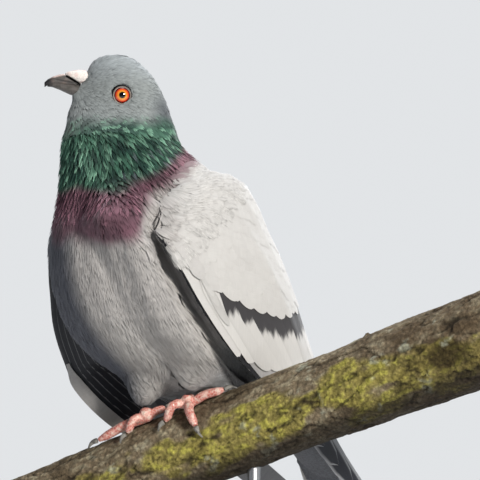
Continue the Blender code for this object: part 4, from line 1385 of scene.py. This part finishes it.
def make_perch():
    """Cracked bark with seamed moss on its front, a small hollow, lichen patches and sawn ends, with
    shade painted in the hollow and along the underside.
    """
    surface = Surface(["perch"], 0.95, 2)
    points, normals = surface.points, surface.normals
    away = points - PERCH_MIDDLE
    along = away @ PERCH_ALONG
    radial = away - along[:, None] * PERCH_ALONG
    radius = np.linalg.norm(radial, axis=1)
    top = unit(radial)[:, 2]
    front = -unit(radial)[:, 1]
    grain = np.stack([along * 0.45, radial[:, 1], radial[:, 2]], 1)  # longer forms along the branch
    sawn = np.abs(normals @ PERCH_ALONG) > 0.8
    rough = fractal(grain, 0.12, 5, 3.0)
    fine = fractal(grain, 0.45, 4, 9.0)
    crack = ease(0.10, 0.0, np.abs(fractal(grain, 0.09, 3, 21.0))) * ease(-0.2, 0.3, rough + 0.2)
    seam = ease(0.07, 0.0, np.abs(fractal(grain * (0.6, 1.0, 1.0), 0.17, 3, 33.0)))
    moss = fractal(grain, 0.055, 4, 40.0) + 0.55 * front - 1.0 * np.abs(top + 0.28) + 0.2
    moss = ease(0.12, 0.42, moss)
    from_hollow = np.hypot((along - PERCH_HOLLOW[0]) / 12, (radial[:, 2] - PERCH_HOLLOW[1]) / 7)
    hollow = ease(1.1, 0.6, from_hollow + 0.15 * rough) * (front > 0)
    lichen = ease(13.0, 5.0, np.linalg.norm(points - np.array(LICHEN_MIDDLE), axis=1))
    lichen = np.maximum(lichen, 0.8 * ease(0.45, 0.7, fractal(points, 0.1, 3, 60.0)))
    lichen = lichen * ease(-0.1, 0.3, fine + 0.2)
    lift = 0.35 * rough + 0.3 * fine - 0.9 * crack - 0.5 * seam * moss + 0.35 * moss * (0.4 + fine)
    lift = lift + 0.3 * lichen
    from_end = np.minimum(along - along.min(), along.max() - along)
    lift = np.clip(lift - 1.2 * hollow, -2.0, 0.5 - 0.9 * ease(6, 2, from_end))
    lift = np.where(sawn, 0.05 * fine - 0.3, lift)
    bark = layered(
        "#85765f",
        ("#a59a80", ease(-0.2, 0.5, fine)),
        ("#6a5c48", ease(0.0, 0.5, rough)),
        ("#9c9148", 0.75 * moss),
        ("#b9b156", moss * ease(0.0, 0.45, fine)),
        ("#2f2c1a", 0.7 * seam * moss),
        ("#5d4a36", 0.35 * ease(110, 160, along)),
        # painted shade inside the hollow
        ("#2f2418", 0.8 * hollow),
        ("#b9bca8", lichen * 0.8),
        ("#2a241c", 0.85 * crack),
        # painted shade along the branch's underside
        ("#2c261f", 0.88 * ease(-0.4, -0.78, top)))
    wood = layered(
        "#b39a70",
        ("#8f7449", 0.5 + 0.5 * np.sin(radius * 3.2 + 1.2 * ripple(points, 20.0))),
        ("#4a3d2c", ease(15.8, 17.0, radius)))
    made = new_object("branch", points + normals * lift[:, None], surface.quads, bark_look(),
                      np.where(sawn[:, None], wood, bark), SMOOTH)
    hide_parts("perch")


def make_stand():
    """Finishes for the base and the rods, which keep the frame's own shapes."""
    wood = Look("walnut", Roughness=0.42, Coat_Weight=0.25, Coat_Roughness=0.3)
    grain = wood.noise(wood.place(), 45.0, detail=6.0, roughness=0.6, stretch=(0.35, 4.0, 4.0))
    wood.drive("Base Color", wood.ramp(grain, (0.35, "#3a2519"), (0.65, "#6d4a33")))
    wood.bump(grain, 0.25, 0.2)
    steel = Look("satin_steel", Metallic=1.0)
    brushed = steel.noise(steel.place(), 500.0, stretch=(1, 1, 0.05))
    steel.drive("Roughness", steel.spread(brushed, 0.25, 0.42))
    steel.drive("Base Color", steel.shaded((0.6, 0.6, 0.61), steel.spread(brushed, 0.92, 1.05)))
    for name, look in (("stand_base", wood), ("stand_rod_low", steel), ("stand_rod_high", steel)):
        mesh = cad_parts[name].data
        mesh.materials.clear()
        mesh.materials.append(look.material)


# ---------------------------------------------------------------- camera, light and floor

def way_out(bearing):
    """The way from the bird to what is seen at a bearing; azimuth 0 is in front."""
    a, e = (math.radians(angle) for angle in bearing)
    return Vector((math.sin(a) * math.cos(e), -math.cos(a) * math.cos(e), math.sin(e)))


def aimed(data, place, way):
    """A camera or a light at a place in metres, looking back along way."""
    made = bpy.data.objects.new(data.name, data)
    made.location = place
    made.rotation_euler = (-way).to_track_quat("-Z", "Y").to_euler()
    bpy.context.scene.collection.objects.link(made)
    return made


def make_camera():
    """Azimuth 45 degrees, looking up by 4, with the bird's frame a little over 22 cm wide."""
    lens = bpy.data.cameras.new("camera")
    lens.lens = 290
    lens.sensor_width = 36
    lens.clip_end = 50
    way = way_out(CAMERA_BEARING)
    bpy.context.scene.camera = aimed(lens, Vector(CAMERA_TARGET) * MM + way * CAMERA_DISTANCE, way)


def make_light():
    """A soft key from the bird's left, cool fills from behind and above, and a faint blue world."""
    sun = bpy.data.lights.new("key", "SUN")
    sun.energy = 3.4
    sun.angle = math.radians(9)
    sun.color = (1.0, 0.97, 0.92)
    aimed(sun, Vector((0, 0, 0)), way_out(KEY_BEARING))
    for name, (bearing, size, power, colour) in FILLS.items():
        fill = bpy.data.lights.new(name, "AREA")
        fill.shape = "DISK"
        fill.size = size
        fill.energy = power
        fill.color = colour
        way = way_out(bearing)
        aimed(fill, LIGHT_TARGET + way * FILL_DISTANCE, way)
    world = bpy.data.worlds.new("studio")
    world.use_nodes = True
    tree = world.node_tree
    glow = tree.nodes["Background"]
    glow.inputs["Color"].default_value = (0.62, 0.76, 1.0, 1.0)
    glow.inputs["Strength"].default_value = 0.10
    seen = node(tree, "ShaderNodeBackground", {"Color": (0.80, 0.82, 0.84, 1.0), "Strength": 0.95})
    rays = node(tree, "ShaderNodeLightPath")
    mixed = node(tree, "ShaderNodeMixShader", {
        0: rays.outputs["Is Camera Ray"], 1: glow.outputs[0], 2: seen.outputs[0]})
    tree.links.new(mixed.outputs[0], tree.nodes["World Output"].inputs["Surface"])
    bpy.context.scene.world = world


def make_floor():
    """A plain pale floor."""
    look = Look("floor", Roughness=0.8, Specular_IOR_Level=0.2)
    grain = look.noise(look.place(), 6.0)
    look.drive("Base Color", look.shaded((0.72, 0.72, 0.71), look.spread(grain, 0.98, 1.02)))
    mesh = bpy.data.meshes.new("floor")
    turns = [2 * math.pi * i / 64 for i in range(64)]
    mesh.from_pydata([(4 * math.cos(a), 4 * math.sin(a), 0) for a in turns], [], [tuple(range(64))])
    mesh.materials.append(look.material)
    floor = bpy.data.objects.new("floor", mesh)
    bpy.context.scene.collection.objects.link(floor)


def main():
    """Makes every piece, then the camera, light and floor."""
    bpy.context.scene.view_settings.view_transform = "Standard"
    body = Surface((*BODY_NODES, "tail"), 1.4, 40, chin())
    body.points[:, 2] = np.minimum(body.points[:, 2], cad_box[1][2] / MM - GRIP[2] - 0.35)
    body.melt(by_thighs(body.points), 50)
    body.puff_sides()
    wings = {side: Surface((f"wing_{side}", f"wing_tip_{side}"), 1.0, 16) for side in HAND}
    make_skin(wings)
    make_coat(body, wings)
    make_shoulders(wings)
    for side, surface in wings.items():
        make_wing(side, surface, body)
    make_tail()
    make_eyes()
    make_bill()
    make_feet()
    make_perch()
    make_stand()
    make_camera()
    make_light()
    make_floor()


main()
